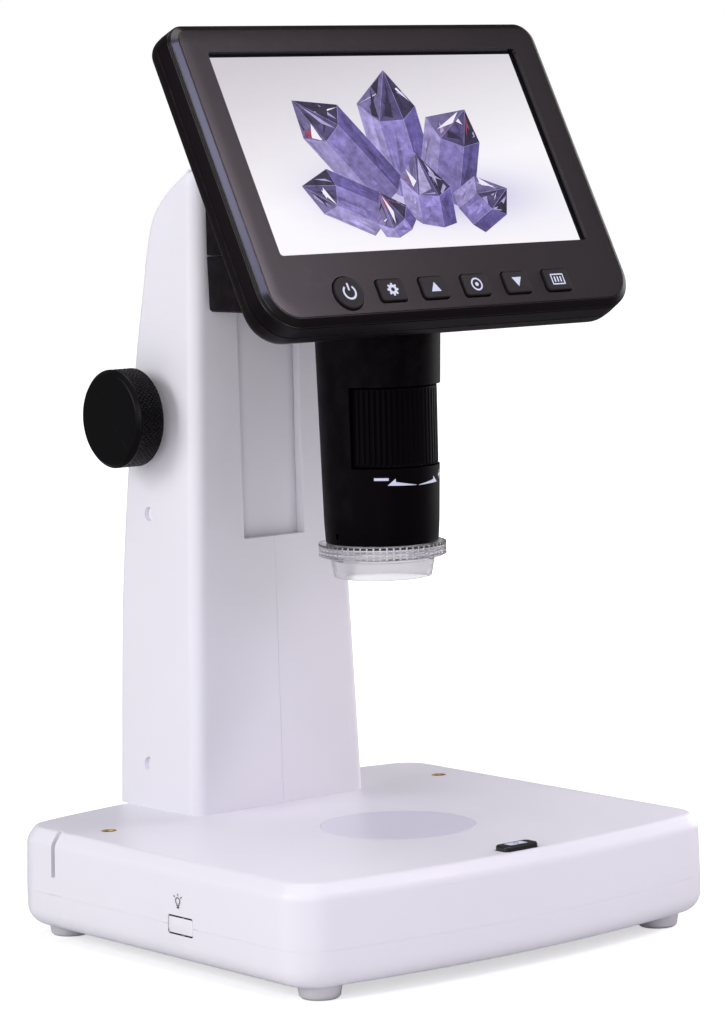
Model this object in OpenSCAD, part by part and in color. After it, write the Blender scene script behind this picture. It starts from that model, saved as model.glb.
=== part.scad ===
// Digital microscope with a screen: weighted base, column with a focus drive,
// a head that carries the lens barrel and a screen that tilts back on a hinge.
// Millimetres, +Z up, +X to the user's right, -Y towards the user.
// Origin on the table under the middle of the base.

/* [Base] */
// Width of the base
base_w = 154; // [146:1:170]
// Depth of the base, front arc to rear arc
base_d = 150; // [144:1:164]
// Height of the base's flat top over the table
base_top = 33; // [31:1:40]
// Height of the seam between the base's two shells
seam_z = 15; // [14:0.5:17]
// Height of a foot
foot_h = 4; // [3:0.5:5]
// Wall of the plastic shells
wall = 2.4; // [2:0.1:2.8]
// Radius of the base's corners in plan
corner_r = 12.5; // [10:0.5:18]
// Radius of the base's front arc in plan
front_r = 380; // [260:10:500]
// Radius of the base's rear arc in plan
rear_r = 320; // [260:10:500]

/* [Stage] */
// Radius of the lit stage disc
stage_r = 22.4; // [18:0.2:26]
// How far the disc's centre lies in front of the lens axis
stage_ahead = 4; // [0:0.5:5]
// Radius of a clip socket's hole
clip_r = 1.6; // [1.2:0.1:2]
// Distance of a clip socket from the middle
clip_x = 62.8; // [56:0.2:64]

/* [Column] */
// Half width of the column at its foot
col_w = 32.5; // [30:0.5:36]
// Height of the column's top over the table
col_top = 222; // [218:1:226]
// Half width of the slot in the column's front
slot_w = 11.4; // [10.5:0.1:13]
// Height of the slot's lower end over the table
slot_z = 113; // [109:1:118]
// Travel of the head down from its rest position
drop = 50; // [30:1:50]

/* [Focus drive] */
// Height of the focus shaft over the table
shaft_z = 149.5; // [148:0.5:152]
// Radius of the focus shaft
shaft_r = 2.5; // [2:0.1:3]
// Radius of a focus knob
knob_r = 14.5; // [11:0.5:16]
// Width of a focus knob
knob_w = 9.8; // [8:0.2:14]
// Radius of a guide rod
rod_r = 3; // [2.4:0.1:3.4]

/* [Lens barrel] */
// Height of the barrel's lower end over the table
barrel_z = 115; // [112:0.2:117]
// Radius of the barrel at its lower end
barrel_r0 = 16.4; // [15.4:0.1:17]
// Radius of the barrel under the head
barrel_r1 = 18.1; // [17:0.1:18.4]
// Radius of the clear hood's grip ring
hood_r = 18.3; // [17:0.1:19]

/* [Screen] */
// Width of the screen housing
disp_w = 134; // [126:0.2:150]
// Height of the screen housing along its slope
disp_h = 93; // [92:0.2:98]
// Lean of the screen back from upright, in degrees
tilt = 28.46; // [26:0.5:31]
// Width of the opening for the picture
view_w = 112.8; // [100:0.2:115]
// Height of the opening for the picture
view_h = 62.8; // [58:0.2:64]
// Distance between two keys
key_step = 15.3; // [13.5:0.1:16.4]

/* [Hidden] */

eps = 0.02;        // shift that keeps two cut faces apart
gap = 0.05;        // air between parts that are fitted together
facets = 6;        // steps in a rounded corner of a moulded shell

// ---- places that several parts share ----
axis_y = -13;                        // lens axis
stage_y = axis_y - stage_ahead;
rim_w = 3;                           // sloping band round the base's top
rim_h = 3.5;
base_round = 6;                      // rounding of the base's lower edge
floor_z = foot_h + 2.5;              // top of the base's floor
top_under = base_top - wall;         // underside of the base's top
foot_at = [[-1, -1], [1, -1], [-1, 1], [1, 1]];
foot_x = base_w/2 - 13.8;
foot_y = base_d/2 - 17.1;
post_x = base_w/2 - 26;              // posts that the base's screws bite into
post_y = [-(base_d/2 - 36), base_d/2 - 22];
clip_y = 37.8;
clip_out = 2.6;                      // outer radius of a clip socket
clip_deep = 9;
button = [12, 5.4, 0, -(base_d/2 - 7)];    // width, depth, x, y
press_y = button[3] + 1.8;                   // where the button's stem meets its switch
rocker = [10.6, 4.8, -14.3, seam_z];         // length, height, y, z
rocker_in = wall + 1.6;              // rocker's pin, in from the base's side
switch_in = wall + 4;                // front of the rocker's switch, likewise
jack_x = 40;
jack_y = base_d/2 - rear_r + sqrt(rear_r*rear_r - jack_x*jack_x);   // rear wall there
slit = [1.8, 46.5, 20];              // width, y, lower end

shaft_y = 59.4;
rod_x = 15;
rod_y = 49.5;
col_wall = 2.6;
col_front = 35.8;                    // y of the column's front at its foot
col_lean = 0.012;                    // lean of that front per mm of height
col_taper = 0.038;                   // half width lost per mm of height
inner_front = 40.3;                  // y of the front wall's inner face
block_y = [42.2, 55.5];              // carriage, front and back
block_w = 21;                        // their half width
carriage_z = [150, 195.5];
neck_z = [183.5, 195.3];
neck_w = slot_w - 1.1;
cover_y = 40.6;
cover_t = 1.6;
rack_w = 4;                          // half width of rack and pinion

// rack and pinion: stub teeth with a 20 degree flank
gear_m = 0.8;
gear_n = 12;
pitch_r = gear_m*gear_n/2;
add = 0.5;
ded = 0.68;
play = 0.05;                         // tooth thinning at the pitch line, each flank
rack_y = shaft_y - pitch_r;          // y of the rack's pitch line
rack_z = [shaft_z - 5, shaft_z + drop + 2];

// head
head_w = 22.8;
head_y = 36.6;                       // y of the head's rear face
head_z = [180.5, 196.5, 196.9, 223.3];
head_gap = 1.4;                      // air between the head and the screen housing
head_post = [[17, 29], [17, 1]];

// screen: local X across, local Y up the slope, local Z out of the picture
scr_y = -24.6;
scr_z = 226.1;
disp_top = 40.6;                     // housing's top edge over the picture's middle
disp_mid = disp_top - disp_h/2;
disp_r = [11, 6];                    // radius of its lower and of its upper corners
face = 1.5;                          // face over the picture's plane
bevel = 2.3;
disp_seam = -5.5;
disp_back = -14;
back_round = 8.5;                    // rounding of the back at the sides
end_round = 6.5;                     // and at the lower and upper edges
hinge_v = 2;                         // hinge axis, up the slope
hinge_n = -20;                       // hinge axis, behind the picture
hinge_r = 5;
pin_r = 2;
lug_x = [14, 20];
key_v = -43.8;
key_size = [9.3, 6.6];
key_gap = 0.35;
key_rise = 0.9;                      // key's top over the face
hinge_y = scr_y + hinge_v*sin(tilt) - hinge_n*cos(tilt);
hinge_z = scr_z + hinge_v*cos(tilt) + hinge_n*sin(tilt);
disp_post = [[-61.4, 32], [61.4, 32], [-61.4, -44.2], [61.4, -44.2]];

// barrel and hood
wheel_z = [137.4, 159.8];
wheel_r = 15.2;
wheel_off = 2.1;                     // wheel's axis in front of the lens axis
wheel_y = axis_y - wheel_off;
window_deg = 69;
bore_r = 13.2;                       // barrel's bore
tube_r = 9.3;
tube_in = 8.7;
hood_z = [105, 110.6, barrel_z - 0.2];
set_z = barrel_z + 2.5;

function barrel_r(z) = barrel_r0 + (barrel_r1 - barrel_r0)*(z - barrel_z)/(head_z[0] - barrel_z);
function head_front(z) = scr_y - (disp_back - head_gap)*cos(tilt)
  + (z - scr_z - (disp_back - head_gap)*sin(tilt))*tan(tilt);

// ---- outlines ----
// Points of an arc from angle a to b in n steps, less the first i0 and the last i1
function arc(c, r, a, b, n, i0 = 0, i1 = 0) =
  [for (i = [i0:n - i1]) c + r*[cos(a + (b - a)*i/n), sin(a + (b - a)*i/n)]];

// Base outline, inset by e: front arc, corners, rear arc
function base_outline(e) =
  let (w = base_w/2 - corner_r,
       cf = front_r - base_d/2, cr = base_d/2 - rear_r,
       yf = cf - sqrt(pow(front_r - corner_r, 2) - w*w),
       yr = cr + sqrt(pow(rear_r - corner_r, 2) - w*w),
       bf = asin(w/(front_r - corner_r)), br = asin(w/(rear_r - corner_r)),
       r = corner_r - e)
  concat(arc([0, cf], front_r - e, -90 - bf, -90 + bf, 14),
         arc([w, yf], r, -90 + bf, 0, facets, 1), arc([w, yr], r, 0, 90 - br, facets, 0, 1),
         arc([0, cr], rear_r - e, 90 - br, 90 + br, 12),
         arc([-w, yr], r, 90 + br, 180, facets, 1), arc([-w, yf], r, 180, 270 - bf, facets, 0, 1));

// Rounded rectangle from (-w, y0) to (w, y1); front corners rf, rear corners rr
function box_outline(w, y0, y1, rf, rr) =
  concat(arc([w - rf, y0 + rf], rf, -90, 0, facets), arc([w - rr, y1 - rr], rr, 0, 90, facets),
         arc([rr - w, y1 - rr], rr, 90, 180, facets), arc([rf - w, y0 + rf], rf, 180, 270, facets));

// Screen housing outline, inset by e at the sides and by f at the ends
function disp_outline(e, f) =
  box_outline(disp_w/2 - e, disp_mid - disp_h/2 + f, disp_mid + disp_h/2 - f,
              max(disp_r[0] - e, 0.6), max(disp_r[1] - e, 0.6));
function disp_inset(e) = disp_outline(e, e);

// Solid through a stack of outlines; each level is [z, points], or [z, points, height] where it is upright
module loft(levels) {
  hull() for (l = levels) translate([0, 0, l[0]]) linear_extrude(len(l) > 2 ? l[2] : 0.01) polygon(l[1]);
}

module rounded(w, h, r) {
  square([w - 2*r, h], center = true);
  square([w, h - 2*r], center = true);
  for (x = [-1, 1], y = [-1, 1]) translate([x*(w/2 - r), y*(h/2 - r)]) circle(r, $fn = 32);
}

module slab(size, r, z0, z1) {
  translate([0, 0, z0]) linear_extrude(z1 - z0) rounded(size[0], size[1], r);
}

module disc(r, z0, z1, fn = 64) { translate([0, 0, z0]) cylinder(r = r, h = z1 - z0, $fn = fn); }

module ring(ro, ri, z0, z1, fn = 64) {
  difference() {
    disc(ro, z0, z1, fn);
    disc(ri, z0 - 1, z1 + 1, fn);
  }
}

// Pan head screw with a cross recess; head up, top of the head at z = 0
module screw(head_r, head_h, shank_r, length) {
  difference() {
    union() {
      disc(head_r, -head_h, 0, 32);
      disc(shank_r, -length, -head_h + eps, 24);
    }
    for (a = [0, 90]) rotate(a) translate([-head_r*0.6, -head_r*0.12, -head_h*0.5])
      cube([head_r*1.2, head_r*0.24, head_h]);
  }
}

module at_feet() { for (s = foot_at) translate([s[0]*foot_x, s[1]*foot_y, 0]) children(); }
module at_posts() { for (s = foot_at) translate([s[0]*post_x, post_y[(s[1] + 1)/2], 0]) children(); }
module both_sides() { children(); mirror([1, 0, 0]) children(); }
module on_axis() { translate([0, axis_y, 0]) children(); }
module on_screen() { translate([0, scr_y, scr_z]) rotate([90 - tilt, 0, 0]) children(); }
module along_x(x) { translate([x, 0, 0]) rotate([0, 90, 0]) children(); }

// ---- base ----
module base_upper_shell() color("white") difference() {
  union() {
    difference() {
      loft([[seam_z + 0.1, base_outline(0)], [base_top - rim_h, base_outline(0.4)],
            [base_top - 0.01, base_outline(rim_w)]]);
      loft([[seam_z - 1, base_outline(wall)], [base_top - rim_h - 1, base_outline(wall + 0.4)],
            [top_under - 0.01, base_outline(rim_w + 1.6)]]);
    }
    at_posts() disc(3.6, seam_z + 3, top_under + 0.5, 32);
    for (x = [-clip_x, clip_x]) translate([x, clip_y, 0])
      disc(clip_out + 2, base_top - clip_deep - 1.5, top_under + 0.5, 32);
    for (x = [-24, 24], y = [42.5, 66]) translate([x, y, 0])
      disc(4, top_under - 1.2, top_under + 0.5, 32);
  }
  at_posts() disc(1.35, seam_z, top_under - 1.5, 24);
  translate([0, stage_y, 0]) disc(stage_r + gap, top_under - 2, base_top + 1, 96);
  for (x = [-clip_x, clip_x]) translate([x, clip_y, 0])
    disc(clip_out + gap/2, base_top - clip_deep, base_top + 1, 48);
  translate([button[2], button[3], 0])
    slab([button[0] + 0.6, button[1] + 0.6], 1.5, top_under - 2, base_top + 1);
  translate([-base_w/2 - 1, slit[1] - slit[0]/2, slit[2]]) cube([rim_w + 2.1, slit[0], base_top]);
  rocker_window();
  jack_window();
  for (x = [-24, 24], y = [42.5, 66]) translate([x, y, 0]) disc(1.7, top_under - 3, base_top + 1, 24);
  translate([0, 49, 0]) slab([21, 11], 3, top_under - 2, base_top + 1);
}

module rocker_window() {
  translate([-base_w/2, rocker[2], rocker[3]]) rotate([90, 0, -90])
    slab([rocker[0] + 0.8, rocker[1] + 0.6], 0.8, -5, 5);
}

module jack_window() {
  translate([jack_x, jack_y, seam_z + 2]) rotate([90, 0, 0]) disc(4.6, -4, 6, 48);
}

module base_lower_shell() color("white") difference() {
  union() {
    difference() {
      loft(concat([for (a = [0:15:75])
        [foot_h + base_round*(1 - cos(a)), base_outline(base_round*(1 - sin(a)))]],
        [[foot_h + base_round, base_outline(0), seam_z - 0.1 - foot_h - base_round]]));
      loft([[floor_z, base_outline(base_round + 0.5)],
            [foot_h + base_round, base_outline(wall), seam_z + 1 - foot_h - base_round]]);
    }
    // lip that laps inside the upper shell
    difference() {
      for (l = [[seam_z - 3.6, 3.3, wall - 0.4], [seam_z - 0.32, 2.3, wall + 0.1]])
        translate([0, 0, l[0]]) linear_extrude(l[1]) difference() {
          polygon(base_outline(l[2]));
          polygon(base_outline(wall + 1.2));
        }
      translate([-base_w/2 + wall, rocker[2] - 8, 0]) cube([10, 16, 40]);
      translate([-base_w/2, rocker[2] - 8, seam_z - 0.11]) cube([10, 16, 40]);
      translate([-base_w/2, slit[1] - 2, seam_z - 0.11]) cube([10, 4, 40]);
    }
    at_posts() disc(4.4, floor_z - 0.5, seam_z + 2.9, 32);
    translate([0, stage_y, 0]) for (a = [30:120:270]) rotate(a) translate([16, 0, 0])
      disc(2.6, floor_z - 0.5, stage_board_z - gap, 24);
    for (x = [-34, -12], y = [-7, 7] + [board_y, board_y]) translate([x, y, 0])
      disc(2.6, floor_z - 0.5, board_z - gap, 24);
    translate([switch_in + 0.2 - base_w/2, rocker[2] - 6, floor_z - 0.5])
      cube([3.4, 12, rocker[3] - 5 - gap - floor_z + 0.5]);
  }
  at_posts() {
    disc(1.7, foot_h - 1, seam_z + 4, 24);
    disc(3.3, foot_h - 1, foot_h + 2.6, 32);
  }
  at_feet() disc(5.6, foot_h - 1, foot_h + 1, 48);
  rocker_window();
  jack_window();
}

board_z = 10;                        // underside of the base's circuit board
board_y = base_d/2 - wall - 13.6;    // its middle
stage_board_z = 16;                  // underside of the stage light's board

module feet() color("gainsboro") at_feet() {
  translate([0, 0, 0.6]) cylinder(r1 = 5.7, r2 = 6.3, h = foot_h - 0.6, $fn = 64);
  cylinder(r1 = 5.1, r2 = 5.7, h = 0.6 + eps/2, $fn = 64);
  disc(5.5, foot_h - eps, foot_h + 0.9, 64);
}

module base_screws() color("silver") at_posts()
  translate([0, 0, foot_h + 0.6]) rotate([180, 0, 0]) screw(2.9, 2, 1.3, 17);

module ballast_plate() color("dimgray") difference() {
  translate([0, -28, 0]) slab([90, 38], 4, floor_z + gap, floor_z + 4);
  translate([0, stage_y, 0]) for (a = [30:120:270]) rotate(a) translate([16, 0, 0]) disc(3.4, 0, 20, 24);
}

// ---- stage light ----
module stage_disc() color("ghostwhite") translate([0, stage_y, 0]) {
  disc(stage_r, top_under - 1, base_top, 96);
  disc(stage_r + 2.6, top_under - 1.6, top_under - gap, 96);
}

// Board with a ring of lamps soldered on
module stage_light_board() color("white") translate([0, stage_y, stage_board_z]) {
  disc(20, 0, 1.6, 64);
  for (a = [0:45:315]) rotate(a) translate([13, 0, 1.6 - eps]) {
    slab([3, 3], 0.3, 0, 0.8);
    disc(1.2, 0.8 - eps, 1.2, 24);
  }
}

module clip_sockets() color("gold") for (x = [-clip_x, clip_x]) translate([x, clip_y, 0])
  difference() {
    disc(clip_out, base_top - clip_deep + 0.1, base_top, 48);
    disc(clip_r, base_top - clip_deep + 1, base_top + 1, 48);
  }

// ---- base electronics ----
module base_board() color("green") difference() {
  translate([-23, board_y, 0]) slab([30, 20], 1, board_z, board_z + 1.6);
  for (x = [-34, -12], y = [-7, 7] + [board_y, board_y]) translate([x, y, 0]) disc(1, 0, 20, 24);
}

module power_jack() color("black") difference() {
  translate([jack_x, jack_y, 0]) {
    translate([-4.5, -16, floor_z + gap]) cube([9, 7, seam_z - 5 - floor_z]);
    translate([-4.5, -16, seam_z - 5]) cube([9, 13.8 - wall, 11.5]);
    translate([0, 0, seam_z + 2]) rotate([90, 0, 0]) disc(4.3, 0.9, 5, 48);
  }
  translate([jack_x, jack_y, seam_z + 2]) rotate([90, 0, 0]) ring(2.8, 0.95, 0, 11, 48);
}

module light_button() color("black") translate([button[2], button[3], 0]) {
  slab([button[0], button[1]], 1.2, top_under - 0.5, base_top + 1.5);
  translate([0, 0.7, 0])
    slab([button[0] + 2.6, button[1] + 1.2], 2.6, top_under - 1.6, top_under - 0.5 + eps);
  translate([0, press_y - button[3], 0]) disc(1.6, top_under - 4, top_under - 1.6 + eps, 24);
}

module light_rocker() color("white") translate([-base_w/2, rocker[2], rocker[3]]) {
  rotate([90, 0, -90]) slab([rocker[0], rocker[1]], 0.6, -2.2, 0.3);
  translate([2.1, -1.1, -rocker[1]/2]) cube([rocker_in - 2.1, 2.2, rocker[1]]);
  translate([rocker_in, 0, 0]) disc(1.1, -rocker[1]/2 - 1.4, rocker[1]/2 + 1.4, 24);
  for (y = [-4, 4]) translate([0, y, 0]) along_x(2.1) disc(0.8, 0, switch_in - 3.15, 24);
}

module light_switches() color("dimgray") {
  translate([button[2], press_y, 0]) {
    slab([6, 4.4], 0.4, floor_z + gap, top_under - 5.6);
    disc(1.7, top_under - 5.6 - eps, top_under - 4.6, 24);
  }
  translate([switch_in - base_w/2, rocker[2], rocker[3]]) difference() {
    union() {
      translate([0, -7, -5]) cube([4, 14, 9]);
      for (y = [-4, 4]) translate([0, y, 0]) along_x(-0.7) disc(0.8, 0, 0.72, 24);
      // ears that hold the rocker's pin
      for (z = [-3.8, 2.8]) translate([wall + 0.3 - switch_in, -1.8, z])
        cube([switch_in - wall - 0.3 + eps, 3.6, 1]);
    }
    translate([rocker_in - switch_in, 0, 0]) disc(1.15, -5, 5, 24);
  }
}

// ---- column ----
// Height over the table and y of the back, from foot to top
back_line = [[base_top, 74.9], [76, 74.9], [98, 74.5], [117, 73.2], [132, 71.9], [164, 68.3],
             [182, 65.3], [199, 62.3], [206, 60.4], [210, 58], [215, 52.8], [218.6, 47]];

module column_solid() loft(concat(
  [for (p = back_line) [p[0] + (col_top - 222)*(p[0] - base_top)/(218.6 - base_top),
    box_outline(col_half(p[0]), col_y(p[0]), p[1], 4.5, 3)]],
  [[col_top - 1.2, box_outline(col_half(col_top) - 0.6, col_y(col_top) + 0.3, 43.6, 2, 2)],
   [col_top - 0.01, box_outline(col_half(col_top) - 2, col_y(col_top) + 1.4, 41.6, 1, 1)]]));

module column_hollow() loft(concat(
  [[base_top - 1, box_outline(col_half(base_top) - col_wall, inner_front, 74.9 - col_wall, 2, 1)]],
  [for (p = back_line) if (p[0] > 70 && p[0] < 212) [p[0] - 1.2,
    box_outline(col_half(p[0]) - col_wall, inner_front, p[1] - col_wall, 2, 1)]],
  [[214.5, box_outline(col_half(215) - col_wall, inner_front, 48.6, 1, 1)],
   [col_top - 4.5, box_outline(col_half(219) - col_wall, inner_front, 43.4, 1, 1)]]));

function col_half(z) = col_w - col_taper*(z - base_top);
function col_y(z) = col_front + col_lean*(z - base_top);

col_screw_z = [base_top + 13, base_top + 87.5];

module column_half(s) difference() {
  union() {
    difference() {
      column_solid();
      column_hollow();
    }
    intersection() {
      column_solid();
      union() {
        for (z = col_screw_z) translate([0, shaft_y, z]) along_x(s < 0 ? -40 : 0) disc(3.4, 0, 40, 32);
        translate([0, shaft_y, shaft_z]) along_x(s < 0 ? -40 : bush_x) disc(7, 0, 40 - bush_x, 32);
        for (i = [0, 1]) rod_block_seat(s, rod_block_z[i]);
        for (y = [42.5, 66]) translate([s*24, y, 0]) disc(3.8, base_top, base_top + 14, 32);
      }
    }
  }
  translate([s < 0 ? -0.08 : -60.08, 0, 0]) cube([60.16, 200, 300]);
  // front slot
  translate([-slot_w, 20, slot_z]) cube([2*slot_w, inner_front - 19, 218 - slot_z]);
  // screw holes, recessed for the heads on the left
  for (z = col_screw_z) translate([0, shaft_y, z]) {
    along_x(-14) disc(s < 0 ? 1.6 : 1.25, 0, 28, 24);
    if (s < 0) along_x(-50) disc(plug_r + gap, 0, 36, 32);
  }
  translate([0, shaft_y, shaft_z]) along_x(-50) disc(bush_r + gap/2, 0, 100, 48);
  for (y = [42.5, 66]) translate([s*24, y, 0]) disc(1.35, base_top - 1, base_top + 11, 24);
}

bush_r = 4.6;
bush_x = block_w + 0.6;              // inner end of a bushing and of its boss
plug_r = 2.1;
rod_block_y = [block_y[0] + 0.4, block_y[1]];
rod_block_z = [[base_top + gap, base_top + 11], [198.2, 204.6]];

// Ribs round the side of a rod block, with a floor over its top
module rod_block_seat(s, z) difference() {
  translate([s < 0 ? -60 : rod_x + rod_r + 0.3, 40.2, z[0] + 0.3])
    cube([60 - rod_x - rod_r - 0.3, 17.3, z[1] - z[0] + 1.7]);
  translate([-block_w - gap, rod_block_y[0] - gap, z[0] - 1])
    cube([2*block_w + 2*gap, rod_block_y[1] - rod_block_y[0] + 2*gap, z[1] - z[0] + 1 + gap]);
}

module column_left_shell() color("white") column_half(-1);
module column_right_shell() color("white") column_half(1);

module column_screws() color("silver") for (z = col_screw_z) translate([-14 - 2.1, shaft_y, z])
  rotate([0, -90, 0]) screw(2, 2.1, 1.15, 22);

// Caps pressed into the wells over the screws
module column_plugs() color("white") for (z = col_screw_z) translate([0, shaft_y, z])
  along_x(-col_half(z) + 1.3) disc(plug_r, 0, 3, 32);

module column_foot_screws() color("silver") for (x = [-24, 24], y = [42.5, 66])
  translate([x, y, top_under - 1.2 - 2]) rotate([180, 0, 0]) screw(2.9, 2, 1.3, 14);

module guide_rods() color("lightgray") for (x = [-rod_x, rod_x]) translate([x, rod_y, 0])
  disc(rod_r, base_top + 3.5, 204, 48);

module rod_blocks() color("dimgray") difference() {
  for (z = rod_block_z) translate([-block_w, rod_block_y[0], z[0]])
    cube([2*block_w, rod_block_y[1] - rod_block_y[0], z[1] - z[0]]);
  for (x = [-rod_x, rod_x]) translate([x, rod_y, 0]) disc(rod_r + 0.01, base_top + 3.5, 204.01, 48);
  translate([-rack_w - 0.6, rack_y - ded - 3.6, 190]) cube([2*rack_w + 1.2, 20, 30]);
  // passage for the wires, and the bosses of the foot screws
  translate([-11, 0, 0]) cube([22, 100, base_top + 4]);
  for (x = [-24, 24]) translate([x, 42.5, 0]) disc(4.1, base_top, base_top + 15, 32);
}

module shaft_bushings() color("goldenrod") both_sides() translate([0, shaft_y, shaft_z])
  difference() {
    union() {
      along_x(bush_x) disc(bush_r, 0, knob_x - 1.3 - bush_x, 48);
      along_x(knob_x - 4.2) disc(7.2, 0, 2.9, 48);
    }
    along_x(10) disc(shaft_r + 0.04, 0, 40, 48);
  }

// ---- focus drive ----
knob_x = 32.8;                       // inner face of a knob

module focus_shaft() color("silver") translate([0, shaft_y, shaft_z])
  along_x(-knob_x - knob_w + 2) disc(shaft_r, 0, 2*(knob_x + knob_w - 2), 48);

function inv(a) = tan(a)*180/PI - a;
function flank(r) = 90/gear_n + inv(20) - inv(acos(min(1, pitch_r*cos(20)/r)))
  - play/pitch_r*180/PI;
function tooth(a) =
  let (rb = pitch_r*cos(20), rs = [pitch_r - ded, rb, rb + 0.16, pitch_r, pitch_r + add*0.5, pitch_r + add])
  concat([for (r = rs) r*[cos(a - flank(r)), sin(a - flank(r))]],
         [for (i = [5:-1:0]) rs[i]*[cos(a + flank(rs[i])), sin(a + flank(rs[i]))]]);

module pinion() color("goldenrod") translate([0, shaft_y, shaft_z]) difference() {
  union() {
    along_x(-rack_w + 0.2) linear_extrude(2*rack_w - 0.4)
      polygon([for (i = [0:gear_n - 1]) each tooth(90 + i*360/gear_n)]);
    along_x(rack_w - 0.3) disc(3.6, 0, 5, 32);
  }
  along_x(-10) disc(shaft_r + 0.01, 0, 30, 48);
}

module knob() along_x(knob_x) rotate_extrude($fn = 96) polygon([
  [shaft_r + 0.01, 0], [knob_r - 0.8, 0], [knob_r, 0.8], [knob_r, knob_w - 1.2],
  [knob_r - 1.2, knob_w], [0, knob_w], [0, knob_w - 1.9], [shaft_r + 0.01, knob_w - 1.9]]);

module knob_left() color("black") translate([0, shaft_y, shaft_z]) mirror([1, 0, 0]) knob();
module knob_right() color("black") translate([0, shaft_y, shaft_z]) knob();

// ---- carriage: everything that the rods guide ----
module carriage() color("dimgray") difference() {
  union() {
    translate([-block_w, block_y[0], carriage_z[0]])
      cube([2*block_w, block_y[1] - block_y[0], carriage_z[1] - carriage_z[0]]);
    translate([-neck_w, head_y + gap, neck_z[0]])
      cube([2*neck_w, block_y[0] - head_y + gap, neck_z[1] - neck_z[0]]);
  }
  for (x = [-rod_x, rod_x]) translate([x, rod_y, 0]) disc(rod_r + 0.05, 100, 250, 48);
  translate([-rack_w - gap, rack_y - ded - 3.5, 100]) cube([2*rack_w + 2*gap, 20, 120]);
  for (x = [-6.5, 6.5]) translate([x, head_y, (neck_z[0] + neck_z[1])/2]) rotate([-90, 0, 0])
    disc(1.25, -1, 10, 24);
}

pitch = PI*gear_m;

module rack() color("silver") {
  translate([-rack_w, rack_y - ded - 3.45, rack_z[0]]) cube([2*rack_w, 3.45 + eps, rack_z[1] - rack_z[0]]);
  for (i = [ceil((rack_z[0] - shaft_z)/pitch + 0.1):floor((rack_z[1] - shaft_z)/pitch - 0.9)])
    translate([rack_w, rack_y, shaft_z + (i + 0.5)*pitch]) rotate([0, -90, 0])
      linear_extrude(2*rack_w) polygon([for (q = [[-ded, -1], [add, -1], [add, 1], [-ded, 1]])
        [q[1]*(pitch/4 - play - q[0]*tan(20)), q[0]]]);
}

module slot_cover() color("white") difference() {
  translate([-slot_w - 2.2, cover_y, slot_z - 4]) cube([2*slot_w + 4.4, cover_t, 214 - slot_z + 4]);
  translate([-neck_w - gap, cover_y - 1, neck_z[0] - gap])
    cube([2*neck_w + 2*gap, 10, neck_z[1] - neck_z[0] + 2*gap]);
}

module arm_screws() color("silver") for (x = [-6.5, 6.5])
  translate([x, head_y - wall - 1.6, (neck_z[0] + neck_z[1])/2]) rotate([90, 0, 0])
    screw(2.4, 1.6, 1.2, 11);

// ---- head ----
function head_outline(z, e) = box_outline(head_w - e, head_front(z) + e, head_y - e, 3, 0.8);

module head_lower_housing() color("black") difference() {
  union() {
    difference() {
      loft([[head_z[0], head_outline(head_z[0], 0.8)],
            [head_z[0] + 0.6, head_outline(head_z[0] + 0.6, 0.3)],
            [head_z[1] - 0.01, head_outline(head_z[1], 0)]]);
      loft([[head_z[0] + wall, head_outline(head_z[0] + wall, wall + 0.6)],
            [head_z[1] + 1, head_outline(head_z[1] + 1, wall)]]);
    }
    for (p = head_post) both_sides() translate([p[0], p[1], 0]) disc(3.2, head_z[0] + 1, head_z[1], 32);
  }
  for (p = head_post) both_sides() translate([p[0], p[1], 0]) {
    disc(1.4, head_z[0] - 1, head_z[1] + 1, 24);
    disc(2.6, head_z[0] - 1, head_z[0] + 2.8, 32);
  }
  on_axis() disc(tube_r + 0.1, head_z[0] - 1, head_z[1], 64);
  for (a = barrel_screw_a) on_axis() rotate(a) translate([15.2, 0, 0])
    disc(1.2, head_z[0] - 1, head_z[0] + 6, 24);
  for (x = [-6.5, 6.5]) translate([x, head_y - wall, (neck_z[0] + neck_z[1])/2]) rotate([-90, 0, 0]) {
    disc(1.4, -1, 5, 24);
    disc(2.6, -6, 0, 32);
  }
}

barrel_screw_a = [90, 210, 330];

module head_upper_housing() color("black") difference() {
  union() {
    difference() {
      loft([[head_z[2], head_outline(head_z[2], 0)], [head_z[3] - 4, head_outline(head_z[3] - 4, 0)],
            [head_z[3] - 1.2, head_outline(head_z[3] - 1.2, 1)],
            [head_z[3] - 0.01, head_outline(head_z[3], 3)]]);
      loft([[head_z[2] - 1, head_outline(head_z[2] - 1, wall)],
            [head_z[3] - 12, head_outline(head_z[3] - 12, wall)]]);
      translate([-head_w + wall + 2, hinge_y + 11, head_z[3] - 13])
        cube([2*(head_w - wall - 2), head_y - hinge_y - 11 - wall - 3, 13 - wall]);
    }
    for (p = head_post) both_sides() translate([p[0], p[1], 0]) disc(3.2, head_z[2], head_z[3] - 10, 32);
    translate([0, hinge_y, hinge_z]) along_x(-lug_x[0] + 0.3) disc(hinge_r, 0, 2*lug_x[0] - 0.6, 48);
  }
  for (p = head_post) both_sides() translate([p[0], p[1], 0]) disc(1.15, head_z[2] - 1, head_z[2] + 9, 24);
  translate([0, hinge_y, hinge_z]) {
    along_x(-lug_x[1] - 0.3) disc(pin_r + 0.01, 0, 2*lug_x[1] + 0.6, 48);
    both_sides() {
      along_x(lug_x[0] - 0.3) disc(hinge_r + 0.6, 0, lug_x[1] - lug_x[0] + 0.6, 48);
      translate([lug_x[0] - 0.3, -20, -0.5]) cube([lug_x[1] - lug_x[0] + 0.6, 28, 20]);
      translate([lug_x[0] - 0.3, -20, -6.5]) cube([lug_x[1] - lug_x[0] + 0.6, 20, 10]);
    }
  }
}

module head_screws() color("silver") for (p = head_post) both_sides()
  translate([p[0], p[1], head_z[0] + 1]) rotate([180, 0, 0]) screw(2.3, 1.8, 1.1, 22);

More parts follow.
